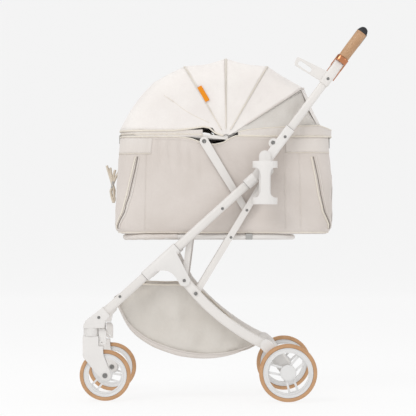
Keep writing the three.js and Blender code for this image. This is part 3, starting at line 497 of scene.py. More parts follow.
def stitches(bm, points, length=mm(2.6), gap=mm(1.3), radius=mm(0.32)):
    """A row of thread stitches along a line."""
    for a, b in zip(*[iter(resample(points, (length + gap) / 2))] * 2):
        middle, half = (a + b) / 2, (b - a) / 2 * (length / (length + gap)) * 2
        sweep(bm, [middle - half / 2, middle, middle + half / 2],
              lambda t: radius * (0.5 + 0.5 * math.sin(math.pi * t)), 6)


def smoothstep(low, high, value):
    t = min(max((value - low) / (high - low), 0), 1)
    return t * t * (3 - 2 * t)


def table_value(table, key):
    """Straight-line interpolation in a list of (key, value)."""
    if key <= table[0][0]:
        return table[0][1]
    for (k0, v0), (k1, v1) in zip(table, table[1:]):
        if key <= k1:
            return v0 + (v1 - v0) * (key - k0) / (k1 - k0)
    return table[-1][1]


# %% [markdown]
# ## Wheels
# Each tyre is a D-shaped ring with rounded shoulders. The wheel inside it has a stepped rim, three
# looped spokes of two bars, and a round hub with a pressed-in cap.

# %% Wheels
TYRE_HEIGHT = mm(11)
RIM_HEIGHT = mm(13)


def tyre_profile(radius, width):
    half, seat = width / 2, radius - TYRE_HEIGHT + mm(0.4)
    shape = [
        (seat, -half + mm(1.8)), (seat + mm(2.5), -half),
        (radius - mm(4.5), -half + mm(0.6)), (radius, -half + mm(6)),
        (radius, half - mm(6)), (radius - mm(4.5), half - mm(0.6)),
        (seat + mm(2.5), half), (seat, half - mm(1.8)),
    ]
    return rounded(shape, mm(3.2))


def wheel_builder(radius, width, centre, first_spoke, outward):
    rim, half = radius - TYRE_HEIGHT, width / 2 - mm(1)
    inner, hub = rim - RIM_HEIGHT, 0.28 * radius

    def build(bm):
        step = mm(2.2)
        ring = [
            (inner, -half), (inner + mm(3), -half), (inner + mm(4.5), -half + step),
            (rim - mm(3), -half + step), (rim - mm(1.6), -half), (rim, -half),
            (rim, half), (rim - mm(1.6), half), (rim - mm(3), half - step),
            (inner + mm(4.5), half - step), (inner + mm(3), half), (inner, half),
        ]
        lathe(bm, rounded(ring, mm(0.8), 2), centre)
        far, near = -outward * half, outward * (half + mm(0.6))
        bore = mm(5.4)
        body = [(bore, far), (hub, far), (hub, near - outward * mm(1.2)), (hub - mm(1.4), near), (bore, near)]
        lathe(bm, rounded(body, mm(0.9), 3), centre, 64)
        cap = [
            (0, near - outward * mm(3)), (hub - mm(2.6), near - outward * mm(3)),
            (hub - mm(2.6), near + outward * mm(0.8)), (hub - mm(6), near + outward * mm(1.5)),
            (0, near + outward * mm(1.9)),
        ]
        lathe(bm, rounded(cap, mm(0.7), 3), centre, 64)
        for turn in range(0, 360, 120):
            for side in (-1, 1):
                spoke(bm, first_spoke + turn, side)

    def spoke(bm, angle, side):
        spread = 0.145 * radius
        middle = polar(centre, angle, (inner + hub * 0.8) / 2)
        across = polar(Vector((0, 0, 0)), angle + 90, side * spread * 0.93)
        length = inner - hub * 0.8 + mm(7)
        block(bm, middle + across, (length, mm(7), 0.075 * radius), turn_in_side_view(angle + side * 3))
        foot = polar(centre, angle, inner - mm(0.5))
        if side == 1:
            block(bm, foot, (mm(6), mm(8.5), 2.5 * spread), turn_in_side_view(angle))

    return build


def wheels(kind, radius, width, joint, first_spoke):
    for side in SIDES:
        sign = side_of(side)
        centre = joint_place(f"{joint}_{side}")
        body = f"{kind}_wheel_{side}"
        make_piece(f"{kind}_tyre_foam_{side}", lambda bm: lathe(bm, tyre_profile(radius, width), centre, 128),
                   tyre_tan, body, [f"{kind}_tyre_{side}"])
        make_piece(f"{kind}_wheel_moulding_{side}", wheel_builder(radius, width, centre, first_spoke, sign),
                   wheel_white, body, [f"{kind}_wheel_{side}"], bevel=mm(0.9))


wheels("rear", mm(79), mm(22), "rear_wheel_spin", 46)
wheels("front", mm(70), mm(20), "front_wheel_spin", -12)
tell("wheels")

# %% [markdown]
# ## Grips
# The grips are leather tubes sewn shut along one side, swollen a little in the middle, with a rolled edge
# at each end and a black end cap.

# %% Grips
HANDLE_ANGLE = 53.2
HINGE = joint_place("handle_fold")
GRIP_RADIUS = mm(15.5)
GRIP_START, GRIP_END = mm(353.5), mm(438)
CAP_RADIUS = mm(14.6)


def along_handle(distance, aside=0.0, y=0.0):
    base = polar(HINGE, HANDLE_ANGLE, distance)
    return polar(base, HANDLE_ANGLE + 90, aside, y)


def grip_radius(share):
    rolled = mm(0.8) * (math.exp(-((share - 0.03) / 0.02) ** 2) + math.exp(-((share - 0.97) / 0.02) ** 2))
    return GRIP_RADIUS - mm(1) + mm(0.9) * math.sin(math.pi * share) + rolled


def cap_radius(share):
    """The end cap is a low dome, and its tip is kept from closing to a point."""
    return CAP_RADIUS * math.sqrt(max(1 - math.sin(math.pi / 2 * share) ** 2, 0.02))


for side in SIDES:
    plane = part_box(f"handle_tube_{side}")
    y = (plane[0].y + plane[1].y) / 2 - HINGE.y
    steps = [k / 60 for k in range(61)]
    line = [along_handle(GRIP_START + (GRIP_END - GRIP_START) * t, 0, y) for t in steps]
    dome = [along_handle(GRIP_END + mm(15) * math.sin(math.pi / 2 * k / 12), 0, y) for k in range(13)]
    outer = side_of(side)
    seam = []
    for t in steps[1:-1]:
        reach = grip_radius(t) * 0.72
        seam.append(along_handle(GRIP_START + (GRIP_END - GRIP_START) * t, -reach, y + outer * reach))
    make_piece(f"grip_leather_{side}", lambda bm: sweep(bm, line, grip_radius, 40), tan_leather, "handle",
               [f"grip_{side}"])
    make_piece(f"grip_stitching_{side}", lambda bm: stitches(bm, seam), piping_cloth, "handle")
    make_piece(f"grip_cap_{side}", lambda bm: sweep(bm, dome, cap_radius, 32), black_plastic, "handle")
tell("grips")

# %% [markdown]
# ## Screws
# Button-head screws with a round socket, on both sides of the frame and on the caster axles.

# %% Screws
def screw_builder(place, sign, radius):
    def build(bm):
        top = sign * radius * 0.42
        head = [
            (0, sign * mm(-0.5)), (radius, sign * mm(-0.5)), (radius, top * 0.35), (radius * 0.72, top),
            (radius * 0.45, top), (radius * 0.45, top * 0.3), (0, top * 0.3),
        ]
        lathe(bm, rounded(head, radius * 0.12, 2), place, 24)
    return build


# (name, x, z, face the head sits on, head radius, body)
SCREWS = [
    ("head", -339.6, 228.4, "frame_hub", 4.2, "frame"),
    ("cross", -282.2, 285.2, "main_tube", 4.0, "frame"),
    ("tube", -2.7, 525.1, "main_tube", 4.2, "frame"),
    ("latch", -106.8, 328.9, "frame_hub", 4.6, "frame"),
    ("strut_low", 20.6, 446.3, "rim_arm_outer", 3.8, "frame"),
    ("strut_high", 64.0, 520.8, "rim_arm_outer", 3.8, "frame"),
    ("eye", -53.0, 710.0, "rim_arm", 6.0, "frame"),
    ("lug", 135.0, 705.1, "upper_hinge", 5.4, "handle"),
    ("bracket", 168.0, 720.7, "upper_hinge", 4.2, "handle"),
]
ARM_FACE = mm(180.5)  # the arms' outer face, from the middle plane
DATUM = Vector((joint_place("hood_fourth_fold").x - mm(7), MIDDLE.y, 0))


def laid_out(x, y, z):
    """A place in the frame's layout, in millimetres: x from the datum, y from the middle, z up."""
    return DATUM + Vector((mm(x), mm(y), mm(z)))


def outer_face(node, side):
    """How far a node's outer face on one side is from the middle plane, in metres, signed."""
    low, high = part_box(f"{node}_{side}")
    return (low.y if side == "left" else high.y) - MIDDLE.y


for side in SIDES:
    sign = side_of(side)
    for name, x, z, face, radius, body in SCREWS:
        depth = sign * ARM_FACE if face == "rim_arm_outer" else outer_face(face, side)
        place = laid_out(x, 0, z) + Vector((0, depth, 0))
        make_piece(f"screw_{name}_{side}", screw_builder(place, sign, mm(radius)), steel, body)
    axle = joint_place(f"front_wheel_spin_{side}")
    for name, direction in (("outer", sign), ("inner", -sign)):
        place = axle + Vector((0, direction * mm(19), 0))
        make_piece(f"axle_screw_{name}_{side}", screw_builder(place, direction, mm(7)), steel,
                   f"caster_{side}")
    pivot = joint_place("leg_fold") + Vector((0, sign * mm(204), 0))
    pivot.y += MIDDLE.y - joint_place("leg_fold").y
    make_piece(f"pivot_screw_{side}", screw_builder(pivot, sign, mm(5)), steel, "frame")

hook_screw = laid_out(285.0, 0, 879.0)
hook_screw.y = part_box("hook_plate")[0].y
make_piece("screw_hook", screw_builder(hook_screw, -1, mm(4.2)), steel, "handle")
tell("screws")

# %% [markdown]
# ## Painted gap shadows
# Where a moulding ends on a tube, a thin dark line of painted shade stands for the shadow in the gap between
# the two.

# %% Painted gap shadows
TUBE_FOOT = laid_out(-340, 0, 227)
TUBE_ANGLE = 42


def gap_shadow_builder(foot, angle, distance, half_depth, half_width):
    corner = mm(6)

    def build(bm):
        middle = polar(foot, angle, distance)
        ring = []
        for turn in range(0, 360, 6):
            c, s = math.cos(math.radians(turn)), math.sin(math.radians(turn))
            depth = c * corner + math.copysign(half_depth - corner, c)
            width = s * corner + math.copysign(half_width - corner, s)
            ring.append(polar(middle, angle + 90, depth, width))
        sweep(bm, ring, mm(0.55), 6, closed=True)
    return build


# (name, node it ends, foot, angle, distance, half depth, half width, body), in millimetres
GAP_SHADOW_LINES = [
    ("hub_low", "main_tube", TUBE_FOOT, TUBE_ANGLE, 168.6, 13.2, 10.2, "frame"),
    ("hub_high", "main_tube", TUBE_FOOT, TUBE_ANGLE, 287.4, 13.2, 10.2, "frame"),
    ("hinge_low", "main_tube", TUBE_FOOT, TUBE_ANGLE, 541.6, 13.2, 10.2, "frame"),
    ("hinge_high", "handle_tube", HINGE, HANDLE_ANGLE, 112.4, 12.2, 9.2, "handle"),
]
# painted shade: each line is a dark ring round the tube, standing for the shadow in the gap at a moulding's
# end
for side in SIDES:
    for name, node, foot, angle, distance, half_depth, half_width, body in GAP_SHADOW_LINES:
        low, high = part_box(f"{node}_{side}")
        centre = Vector((foot.x, (low.y + high.y) / 2, foot.z))
        line_builder = gap_shadow_builder(centre, angle, mm(distance), mm(half_depth), mm(half_width))
        make_piece(f"gap_shadow_{name}_{side}", line_builder, painted_gap_shade, body)
tell("joint lines")

# %% [markdown]
# ## Hood
# The hood is cut in gores between five hoops that turn on one pivot. Each gore is a curved sheet: at every
# angle it has the same kind of section, a flat leg on each side, a round shoulder, and a roof with a
# little crown. Its reach at each angle follows the hood's side outline, and it sags between hoops.

# %% Hood shape
PIVOT = joint_place("hood_fourth_fold")
PIVOT.y = MIDDLE.y
HOOP_ANGLES = [176, 120, 90, 60, 33]
HOOD_BODIES = ["hood_front", "hood_second", "hood_third", "hood_fourth", "frame"]
HOOD_HALF = mm(163.5)
HOOD_CLOTH = mm(0.4)
LAYER = mm(0.45)  # between the planes of two gores, so that they fold past each other
EYE_RADIUS = mm(9)  # where the gores start, round the pivot
SHOULDER = mm(84)
# the hood's side outline, as millimetres from the pivot
HOOD_OUTLINE = [
    (-297, 0), (-296, 20), (-287, 40), (-262, 88), (-234.7, 127), (-202.4, 159.5), (-160, 181), (-114, 201),
    (-55, 211), (0, 222), (58, 211), (114, 201), (168, 172), (214, 141), (228, 110), (238, 81), (261, 36),
    (292, 23), (296, 0),
]
# the hem's height above the pivot, at distances from it in millimetres
FRONT_HEM = [(0, 3), (16, 8), (30, 13), (46, 27), (62, 30), (98, 25), (140, 20), (300, 19)]
REAR_HEM = [(0, 3), (30, 14), (55, 21), (110, 27), (165, 30), (255, 34), (300, 20)]


def hood_reach(degrees):
    """How far the hood's side outline is from its pivot at an angle."""
    ray = (math.cos(math.radians(degrees)), math.sin(math.radians(degrees)))
    for (x0, z0), (x1, z1) in zip(HOOD_OUTLINE, HOOD_OUTLINE[1:]):
        turn0, turn1 = ray[0] * z0 - ray[1] * x0, ray[0] * z1 - ray[1] * x1
        if turn0 * turn1 <= 0 and turn0 != turn1:
            share = turn0 / (turn0 - turn1)
            x, z = x0 + share * (x1 - x0), z0 + share * (z1 - z0)
            if x * ray[0] + z * ray[1] > 0:
                return mm(math.hypot(x, z))
    return mm(296)


# the share of the cloth from one eye to the other that is a flat leg, and that is a shoulder
LEG_SHARE, SHOULDER_SHARE = 0.34, 0.07


def hood_section(share, reach, half):
    """(y, radius) of the hood's section at a share of the way over it, from the left eye to the right one."""
    side = -1 if share < 0.5 else 1
    share = min(share, 1 - share)
    shoulder = min(SHOULDER, reach * 0.5)
    if share < LEG_SHARE:
        return side * half, EYE_RADIUS + (reach - shoulder - EYE_RADIUS) * share / LEG_SHARE
    if share < LEG_SHARE + SHOULDER_SHARE:
        angle = math.pi / 2 * (share - LEG_SHARE) / SHOULDER_SHARE
        inwards = shoulder * (1 - math.cos(angle) ** 0.82)
        return side * (half - inwards), reach - shoulder * (1 - math.sin(angle) ** 0.82)
    run = (share - LEG_SHARE - SHOULDER_SHARE) / (0.5 - LEG_SHARE - SHOULDER_SHARE)
    return side * (half - shoulder) * (1 - run), reach + mm(2.5) * math.sin(math.pi / 2 * run)


def hem_angle(table, radius):
    height = table_value(table, radius * 1000) / 1000
    return math.degrees(math.asin(min(height / radius, 0.95)))


def gore_point(high, low, half, u, v):
    """A place on the gore between two angles. An angle past a hem is held to the hem."""
    angle = high + (low - high) * v
    for _ in range(2):
        y, radius = hood_section(u, hood_reach(angle), half)
        first = min(high, 180 - hem_angle(FRONT_HEM, radius))
        last = max(low, hem_angle(REAR_HEM, radius))
        angle = first + (last - first) * v
    y, radius = hood_section(u, hood_reach(angle), half)
    slack = math.sin(math.pi * v) ** 1.5
    slack *= smoothstep(mm(60), mm(150), radius)
    sag = mm(4.2) * slack
    wave = mm(0.9) * slack * math.sin(radius / mm(19) + angle * 0.35 + 2 * math.sin(radius / mm(47)))
    if abs(y) >= half - mm(0.1):
        y -= math.copysign(sag * 0.7 + abs(wave), y)
    return polar(PIVOT, angle, radius - sag, y)


def gore_builder(high, low, half, columns=120, rows=18):
    return lambda bm: grid(bm, lambda u, v: gore_point(high, low, half, u, v), columns, rows)


def hood_line(angle, half, lift, steps=90, start=0.0, end=1.0):
    """Points over the hood at an angle, `lift` outside the cloth."""
    line = []
    for k in range(steps + 1):
        y, radius = hood_section(start + (end - start) * k / steps, hood_reach(angle), half + lift)
        line.append(polar(PIVOT, angle, radius + (lift if abs(y) < half - mm(8) else 0), y))
    return line


def line_length(points):
    return sum((b - a).length for a, b in zip(points, points[1:]))


def cloth_area(piece):
    return sum(face.area for face in piece.data.polygons)


def blend_over(piece):
    """Bakes a piece's placement into its mesh."""
    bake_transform(piece)


for k, (high, low) in enumerate(zip(HOOP_ANGLES, HOOP_ANGLES[1:])):
    half = HOOD_HALF - k * LAYER
    gore = make_piece(f"hood_cloth_{k + 1}", gore_builder(high, low, half), hood_cloth, None,
                      [f"hood_gore_{k + 1}"], thickness=HOOD_CLOTH, recalculate=False)
    blend_over(gore)
    length = line_length(hood_line((high + low) / 2, HOOD_HALF, 0)) * 1.06
    width = hood_reach(high) * math.radians(high - low) * 1.08
    print(f"hood_cloth_{k + 1}: {width:.3f} by {length:.3f} m of cloth")

# %% [markdown]
# ## Hood seams
# A piped seam runs over each hoop with a row of stitches on each side of it. The middle one carries a
# zip's tape. The front gore has a dart on each side, and its hem is piped.

# %% Hood seams
for k, angle in enumerate(HOOP_ANGLES[1:4], start=1):
    line = hood_line(angle, HOOD_HALF, mm(1.3), start=0.04, end=0.96)
    make_piece(f"hood_piping_{k + 1}", lambda bm: sweep(bm, line, mm(1.2), 8), piping_cloth,
               HOOD_BODIES[k])
    for side, offset in (("front", 1.1), ("rear", -1.1)):
        row = hood_line(angle + offset, HOOD_HALF, mm(0.1), start=0.08, end=0.92)
        make_piece(f"hood_stitches_{k + 1}_{side}", lambda bm: stitches(bm, row), piping_cloth,
                   HOOD_BODIES[k])

zip_line = hood_line(91.3, HOOD_HALF, mm(0.8), start=0.06, end=0.94)
make_piece("hood_zip_tape", lambda bm: sweep(bm, zip_line, mm(0.9), 8), band_cloth, "hood_third")


def on_each_side(points):
    """(side, points) for the given left-side points and their mirror image."""
    right = [Vector((p.x, 2 * MIDDLE.y - p.y, p.z)) for p in points]
    return (("left", points), ("right", right))


dart = []
for k in range(41):
    share = k / 40
    place = gore_point(HOOP_ANGLES[0], HOOP_ANGLES[1], HOOD_HALF, 0.115 + 0.24 * share, 0.43 + 0.1 * share)
    dart.append(place - Vector((0, mm(0.2), 0)))
for side, points in on_each_side(dart):
    piece = make_piece(f"hood_dart_{side}", lambda bm: sweep(bm, points, mm(0.8), 6), piping_cloth, None)
    blend_over(piece)

NOSE = PIVOT.x - mm(294)
TAIL = PIVOT.x + mm(292)


def band_line(end_x, nose, half, steps=72, corner=mm(70)):
    """Plan points at the pivot's height, from end_x on the left, round the nose, to end_x on the right."""
    sign = math.copysign(1, nose - end_x)
    bend_x = nose - sign * corner
    left = [Vector((end_x + (bend_x - end_x) * k / steps, MIDDLE.y - half, PIVOT.z)) for k in range(steps)]
    for k in range(25):
        angle = math.pi / 2 * k / 24
        left.append(Vector((bend_x + sign * corner * math.sin(angle),
                            MIDDLE.y - half + corner * (1 - math.cos(angle)), PIVOT.z)))
    return left + [Vector((p.x, 2 * MIDDLE.y - p.y, p.z)) for p in reversed(left)]


def raised(line, table):
    """The line at the heights a table gives by the distance from the pivot along X."""
    return [Vector((p.x, p.y, p.z + mm(table_value(table, abs(p.x - PIVOT.x) * 1000)))) for p in line]


def strip(name, line, top, bottom, material):
    """A strip of cloth hung between two height tables along a line."""
    high, low = raised(line, top), raised(line, bottom)
    last = len(line) - 1

    def point(u, v):
        k = round(u * last)
        outwards = Vector((0, math.copysign(mm(0.5), high[k].y - MIDDLE.y), 0))
        return low[k].lerp(high[k], v) - outwards * math.sin(u * 170) * math.sin(math.pi * v)

    piece = make_piece(name, lambda bm: grid(bm, point, last, 6), material, "frame",
                       thickness=mm(0.8))
    width = cloth_area(piece) / line_length(line)
    line_length(line) * 1.01


front_hem = raised(band_line(PIVOT.x - mm(7), NOSE, HOOD_HALF), FRONT_HEM)
hem_piping = make_piece("hood_front_hem", lambda bm: sweep(bm, front_hem, mm(2.4), 10), piping_cloth,
                        None)
blend_over(hem_piping)
INNER_HEM = [(0, 4), (60, 8), (110, 10), (300, 10)]
inner_line = band_line(PIVOT.x - mm(64), NOSE + mm(2), HOOD_HALF - mm(0.6))
strip("hood_front_skirt", inner_line, [(0, 24), (300, 17)], [(0, 6), (110, 2)], band_cloth)
inner_hem = raised(inner_line, INNER_HEM)
make_piece("hood_inner_hem", lambda bm: sweep(bm, inner_hem, mm(1.6), 8), piping_cloth, "frame")

rear_line = band_line(PIVOT.x + mm(33), TAIL, HOOD_HALF + mm(0.2))
BAND_FOOT = [(0, 8), (60, 6), (120, 4), (300, 4)]
strip("hood_rear_band", rear_line, REAR_HEM, BAND_FOOT, band_cloth)
for name, table, radius in (("top", REAR_HEM, mm(1.4)), ("bottom", BAND_FOOT, mm(1.9))):
    edge = raised(rear_line, table)
    make_piece(f"hood_rear_band_{name}", lambda bm: sweep(bm, edge, radius, 8), piping_cloth, "frame")
tell("hood")

# %% [markdown]
# ## Rear window
# The rear panel is open mesh on both sides with a solid roof, and a zip along the last hoop closes it.

# %% Rear window
def window_point(u, v):
    return gore_point(32.5, 3, HOOD_HALF - 4 * LAYER, 0.035 + 0.93 * u, v)


window = make_piece("hood_window_mesh", lambda bm: grid(bm, window_point, 120, 26), mesh_cloth, "frame",
                    ["hood_rear_panel"], thickness=HOOD_CLOTH, recalculate=False)
window_length = line_length(hood_line(18, HOOD_HALF, 0)) * 1.08


def window_roof_point(u, v):
    angle = 33 - 25 * v
    y, radius = hood_section(0.385 + 0.23 * u, hood_reach(angle), HOOD_HALF)
    return polar(PIVOT, angle, radius + mm(0.6), y)


window_roof = make_piece("hood_window_roof", lambda bm: grid(bm, window_roof_point, 90, 22), hood_cloth,
                         "frame", thickness=mm(0.8), recalculate=False)
roof_length = line_length([window_roof_point(k / 90, 0.5) for k in range(91)]) * 1.04
last_seam = hood_line(33, HOOD_HALF, mm(1.6), start=0.115, end=0.885)
make_piece("hood_window_zip_tape", lambda bm: sweep(bm, last_seam, mm(1.5), 8), band_cloth, "frame")
teeth = hood_line(31.4, HOOD_HALF, mm(0.5), start=0.12, end=0.88)
make_piece("hood_window_zip", lambda bm: stitches(bm, teeth, mm(1.9), mm(1.5), mm(0.8)), zip_cloth,
           "frame")
tell("rear window")

# %% [markdown]
# ## Tag
# A plain woven tag is sewn flat along the second hoop, on the left.

# %% Tag
TAG_SIZE = (mm(46), mm(13))


def tag_builder(bm):
    behind = Vector((math.cos(math.radians(30)), 0, math.sin(math.radians(30))))

    def point(u, v):
        corner = polar(PIVOT, HOOP_ANGLES[1], mm(112) + TAG_SIZE[0] * u, -HOOD_HALF - mm(2.7))
        return corner + behind * TAG_SIZE[1] * v - Vector((0, mm(0.5) * math.sin(math.pi * v), 0))

    grid(bm, point, 24, 8)


tag = make_piece("hood_tag", tag_builder, tag_cloth, "hood_second", thickness=mm(0.7))

# %% [markdown]
# ## Cabin
# The cabin is one sewn shell of stiffened cloth. Its front and rear bow out towards the floor, and its top
# edge wraps the rim, dipping on each side where the arm's eye meets the rim. Pleats run down from the rim,
# and a long fold falls from each arm.

# %% Cabin shape
CABIN_HALF = mm(162.9)
CABIN_CORNER = mm(50)
# how far the front and rear walls are from the middle, in millimetres, at heights above the floor
FRONT_WALL = [
    (455, -276), (458, -288), (466, -298), (480, -301.5), (540, -300),
    (610, -296), (660, -292), (705, -287), (724, -286),
]
REAR_WALL = [
    (455, 278), (458, 286), (466, 293), (482, 298.5), (540, 299.5),
    (617, 299), (650, 295), (680, 291), (705, 289), (724, 288),
]
SIDE_WALL = [(455, mm(-10)), (462, mm(-4)), (474, mm(-1)), (500, 0), (724, 0)]
BOTTOM_HEIGHT = 455.6
# the height of the cabin's top edge by x, in millimetres, with the dip round the arms' eyes
TOP_EDGE = [
    (-133, 723), (-92, 718), (-64, 707), (-50, 702), (-24, 702),
    (-2, 707), (16, 718), (32, 725), (60, 724), (120, 723),
]


def plan_point(share, low_x, high_x, half):
    """A point round the cabin's plan, a rounded rectangle, from the middle of the left side forwards."""
    corner = CABIN_CORNER
    low, high = mm(low_x), mm(high_x)
    middle = (low + high) / 2
    quarter = [
        ("line", (middle, -half), (low + corner, -half)),
        ("arc", (low + corner, -half + corner), 180),
        ("line", (low, -half + corner), (low, half - corner)),
        ("arc", (low + corner, half - corner), 90),
        ("line", (low + corner, half), (high - corner, half)),
        ("arc", (high - corner, half - corner), 0),
        ("line", (high, half - corner), (high, -half + corner)),
        ("arc", (high - corner, -half + corner), -90),
        ("line", (high - corner, -half), (middle, -half)),
    ]
    # the share of the way round at which each stretch starts, and the end of the last one
    marks = [0, 0.2, 0.245, 0.345, 0.39, 0.61, 0.655, 0.755, 0.8, 1.0]
    for k, piece in enumerate(quarter):
        if share <= marks[k + 1] or k == len(quarter) - 1:
            t = (share - marks[k]) / (marks[k + 1] - marks[k])
            if piece[0] == "line":
                (x0, y0), (x1, y1) = piece[1:]
                return x0 + (x1 - x0) * t, y0 + (y1 - y0) * t
            (cx, cy), end = piece[1:]
            angle = math.radians({180: 270 - 90 * t, 90: 180 - 90 * t, 0: 90 - 90 * t, -90: -90 * t}[end])
            return cx + corner * math.cos(angle), cy + corner * math.sin(angle)


def fold(x, z, start, end, width, depth):
    """How deep a fold is at a place in the side view; the fold runs between two places."""
    run = Vector(end) - Vector(start)
    along = run.normalized()
    away = Vector((x - start[0], z - start[1]))
    share = away.dot(along) / run.length
    across = away.x * along.y - away.y * along.x
    strength = depth * math.exp(-(across / width) ** 2) * smoothstep(-0.08, 0.1, share)
    return strength * smoothstep(1.1, 0.75, share)


# (start, end, width, depth) of the long folds, in millimetres in the side view
FOLDS = [
    ((-42, 700), (34, 560), 9, 5.2),
    ((-20, 700), (60, 610), 14, 3.6),
    ((-70, 700), (-60, 600), 7, 1.6),
    ((-150, 712), (-146, 640), 6, 1.6),
    ((-178, 712), (-171, 650), 5, 1.4),
    ((-122, 712), (-112, 630), 6, 1.8),
    ((-98, 708), (-84, 625), 6, 1.8),
    ((120, 712), (150, 640), 12, 1.4),
    ((-210, 480), (-120, 462), 9, 1.4),
    ((60, 462), (190, 470), 10, 1.2),
]


def cabin_dent(x, z):
    """How far the side wall is pulled in at a place, in metres."""
    depth = sum(fold(x, z, *f) for f in FOLDS)
    panel = 3.4 * smoothstep(470, 560, z) * smoothstep(700, 620, z) * smoothstep(-215, -120, x)
    panel *= smoothstep(225, 130, x)
    ripple = 0.9 * (1 + math.sin(x * 0.21 + 0.6 * math.sin(z * 0.03))) * smoothstep(600, 705, z)
    ripple *= smoothstep(-30, -80, x)
    return mm(depth + panel + ripple)


def cabin_point(share, height_share, lift=0.0, height=None):
    """A point on the cabin's outside, `lift` metres out. height in millimetres overrides height_share."""
    x, y = plan_point(share, -290, 290, CABIN_HALF)
    top = table_value(TOP_EDGE, x * 1000)
    z = BOTTOM_HEIGHT + (top - BOTTOM_HEIGHT) * height_share if height is None else height
    half = CABIN_HALF + table_value(SIDE_WALL, z) + lift
    low, high = table_value(FRONT_WALL, z) - lift * 1000, table_value(REAR_WALL, z) + lift * 1000
    x, y = plan_point(share, low, high, half)
    if abs(y) > half - mm(0.5):
        y -= math.copysign(cabin_dent(x * 1000, z), y)
    else:
        bow = mm(1.5) * math.sin(z * 0.045 + y * 40) * smoothstep(470, 520, z) * smoothstep(715, 660, z)
        x -= math.copysign(bow if abs(x) > mm(270) else 0, x)
    return Vector((MIDDLE.x + x, MIDDLE.y + y, mm(z)))


def side_place(x, z, side, lift):
    """A place on a side wall, by its x and z in millimetres."""
    half = CABIN_HALF + table_value(SIDE_WALL, z) + lift - cabin_dent(x, z)
    return Vector((MIDDLE.x + mm(x), MIDDLE.y + side_of(side) * half, mm(z)))


HEIGHTS = [0, 0.008, 0.02, 0.04, 0.065] + [0.1 + 0.9 * k / 52 for k in range(53)]


def cabin_builder(bm):
    rows = len(HEIGHTS) - 1
    rings = grid(bm, lambda u, v: cabin_point(u, HEIGHTS[round(v * rows)]), 300, rows, closed=True)
    centre = bm.verts.new((MIDDLE.x, MIDDLE.y, mm(BOTTOM_HEIGHT)))
    lowest = [column[0] for column in rings]
    for a, b in zip(lowest, lowest[1:] + lowest[:1]):
        bm.faces.new((a, centre, b))


cabin = make_piece("cabin_shell", cabin_builder, cabin_cloth, "frame", ["cabin"], thickness=mm(1.1))

# %% [markdown]
# ## Cabin trim
# Piping round the top edge, a band across each end, sewn panel seams, a zip down each corner in its own
# slit, a pocket on each end wall, and small grey brackets at the ends of the rim.

# %% Cabin trim
def trim(name, points, radius, material, sides=8, closed=False):
    return make_piece(name, lambda bm: sweep(bm, points, radius, sides, closed), material, "frame")


top_line = [cabin_point(k / 300, 1.0, mm(0.2)) for k in range(300)]
trim("cabin_top_piping", top_line, mm(1.8), piping_cloth, closed=True)
inner_line = [cabin_point(k / 300, 0.972, mm(0.35)) for k in range(300)]
trim("cabin_top_seam", inner_line, mm(0.6), band_cloth, closed=True, sides=6)
bottom_line = [cabin_point(k / 300, 0, mm(0.5), height=460) for k in range(300)]
trim("cabin_floor_piping", bottom_line, mm(1.6), piping_cloth, closed=True)

BAND_SEAM_HEIGHT = 676
SEAM_BOTTOM = 468
# (x at the top, x at the bottom, height of the top) of each seam, in millimetres
PANEL_SEAMS = [(-213, -218, 716), (165, 169, 716), (206, 211, BAND_SEAM_HEIGHT)]
for side in SIDES:
    for k, (x_top, x_bottom, top) in enumerate(PANEL_SEAMS):
        seam = []
        for step in range(51):
            t = step / 50
            x, z = x_top + (x_bottom - x_top) * t, top + (SEAM_BOTTOM - top) * t
            seam.append(side_place(x, z, side, mm(0.25)))
        trim(f"cabin_seam_{k + 1}_{side}", seam, mm(0.6), band_cloth, sides=6)
        stitch = [p + Vector((mm(2.4), side_of(side) * mm(0.2), 0)) for p in seam]
        make_piece(f"cabin_stitches_{k + 1}_{side}", lambda bm: stitches(bm, stitch), piping_cloth,
                   "frame")


def end_band(name, first, last, bottom, top, lift, material):
    """A strip of cloth on the cabin from one share of its plan to another."""
    columns = 90

    def point(u, v):
        return cabin_point(first + (last - first) * u, 0, lift, height=bottom + (top - bottom) * v)

    piece = make_piece(name, lambda bm: grid(bm, point, columns, 8), material, "frame",
                       thickness=mm(0.8))
    edge = [point(k / columns, 0) for k in range(columns + 1)]
    line_length(edge) * 1.02
    trim(f"{name}_hem", edge, mm(0.9), piping_cloth, sides=6)
    shares = [first + (last - first) * k / columns for k in range(columns + 1)]
    stitch = [cabin_point(share, 0, lift + mm(0.3), height=bottom + 4) for share in shares]
    make_piece(f"{name}_stitches", lambda bm: stitches(bm, stitch), piping_cloth, "frame")


end_band("cabin_front_band", 0.166, 0.424, BAND_SEAM_HEIGHT, 719, mm(0.9), band_cloth)
end_band("cabin_rear_band", 0.6, 0.86, BAND_SEAM_HEIGHT + 3, 719, mm(0.9), band_cloth)
end_band("cabin_rear_pocket", 0.66, 0.75, 474, 619, mm(1.6), cabin_cloth)
end_band("cabin_front_pocket", 0.262, 0.328, 500, 668, mm(1.4), band_cloth)

# (height in millimetres, share of the way round the plan) up each corner slit
FRONT_SLIT = [(474, 0.228), (515, 0.2145), (560, 0.2065), (610, 0.2015), (668, 0.196)]
REAR_SLIT = [(474, 0.768), (515, 0.782), (560, 0.790), (620, 0.796), (676, 0.799)]
SLIT_EDGES = (("piping", 0.0042, mm(2.1), piping_cloth), ("lining", -0.0042, mm(1.7), band_cloth))


def mirrored_share(share):
    """The share of the plan on the right side that matches one on the left."""
    return (0.59 if share < 0.5 else 1.41) - share


def slit_line(table, side, offset, lift):
    """Points up a corner slit, `offset` along the plan from its middle and `lift` metres out."""
    places = [(table_value(table, height) + offset, height) for height in range(470, 670, 3)]
    if side == "right":
        places = [(mirrored_share(share), height) for share, height in places]
    return [cabin_point(share, 0, lift, height=height) for share, height in places]


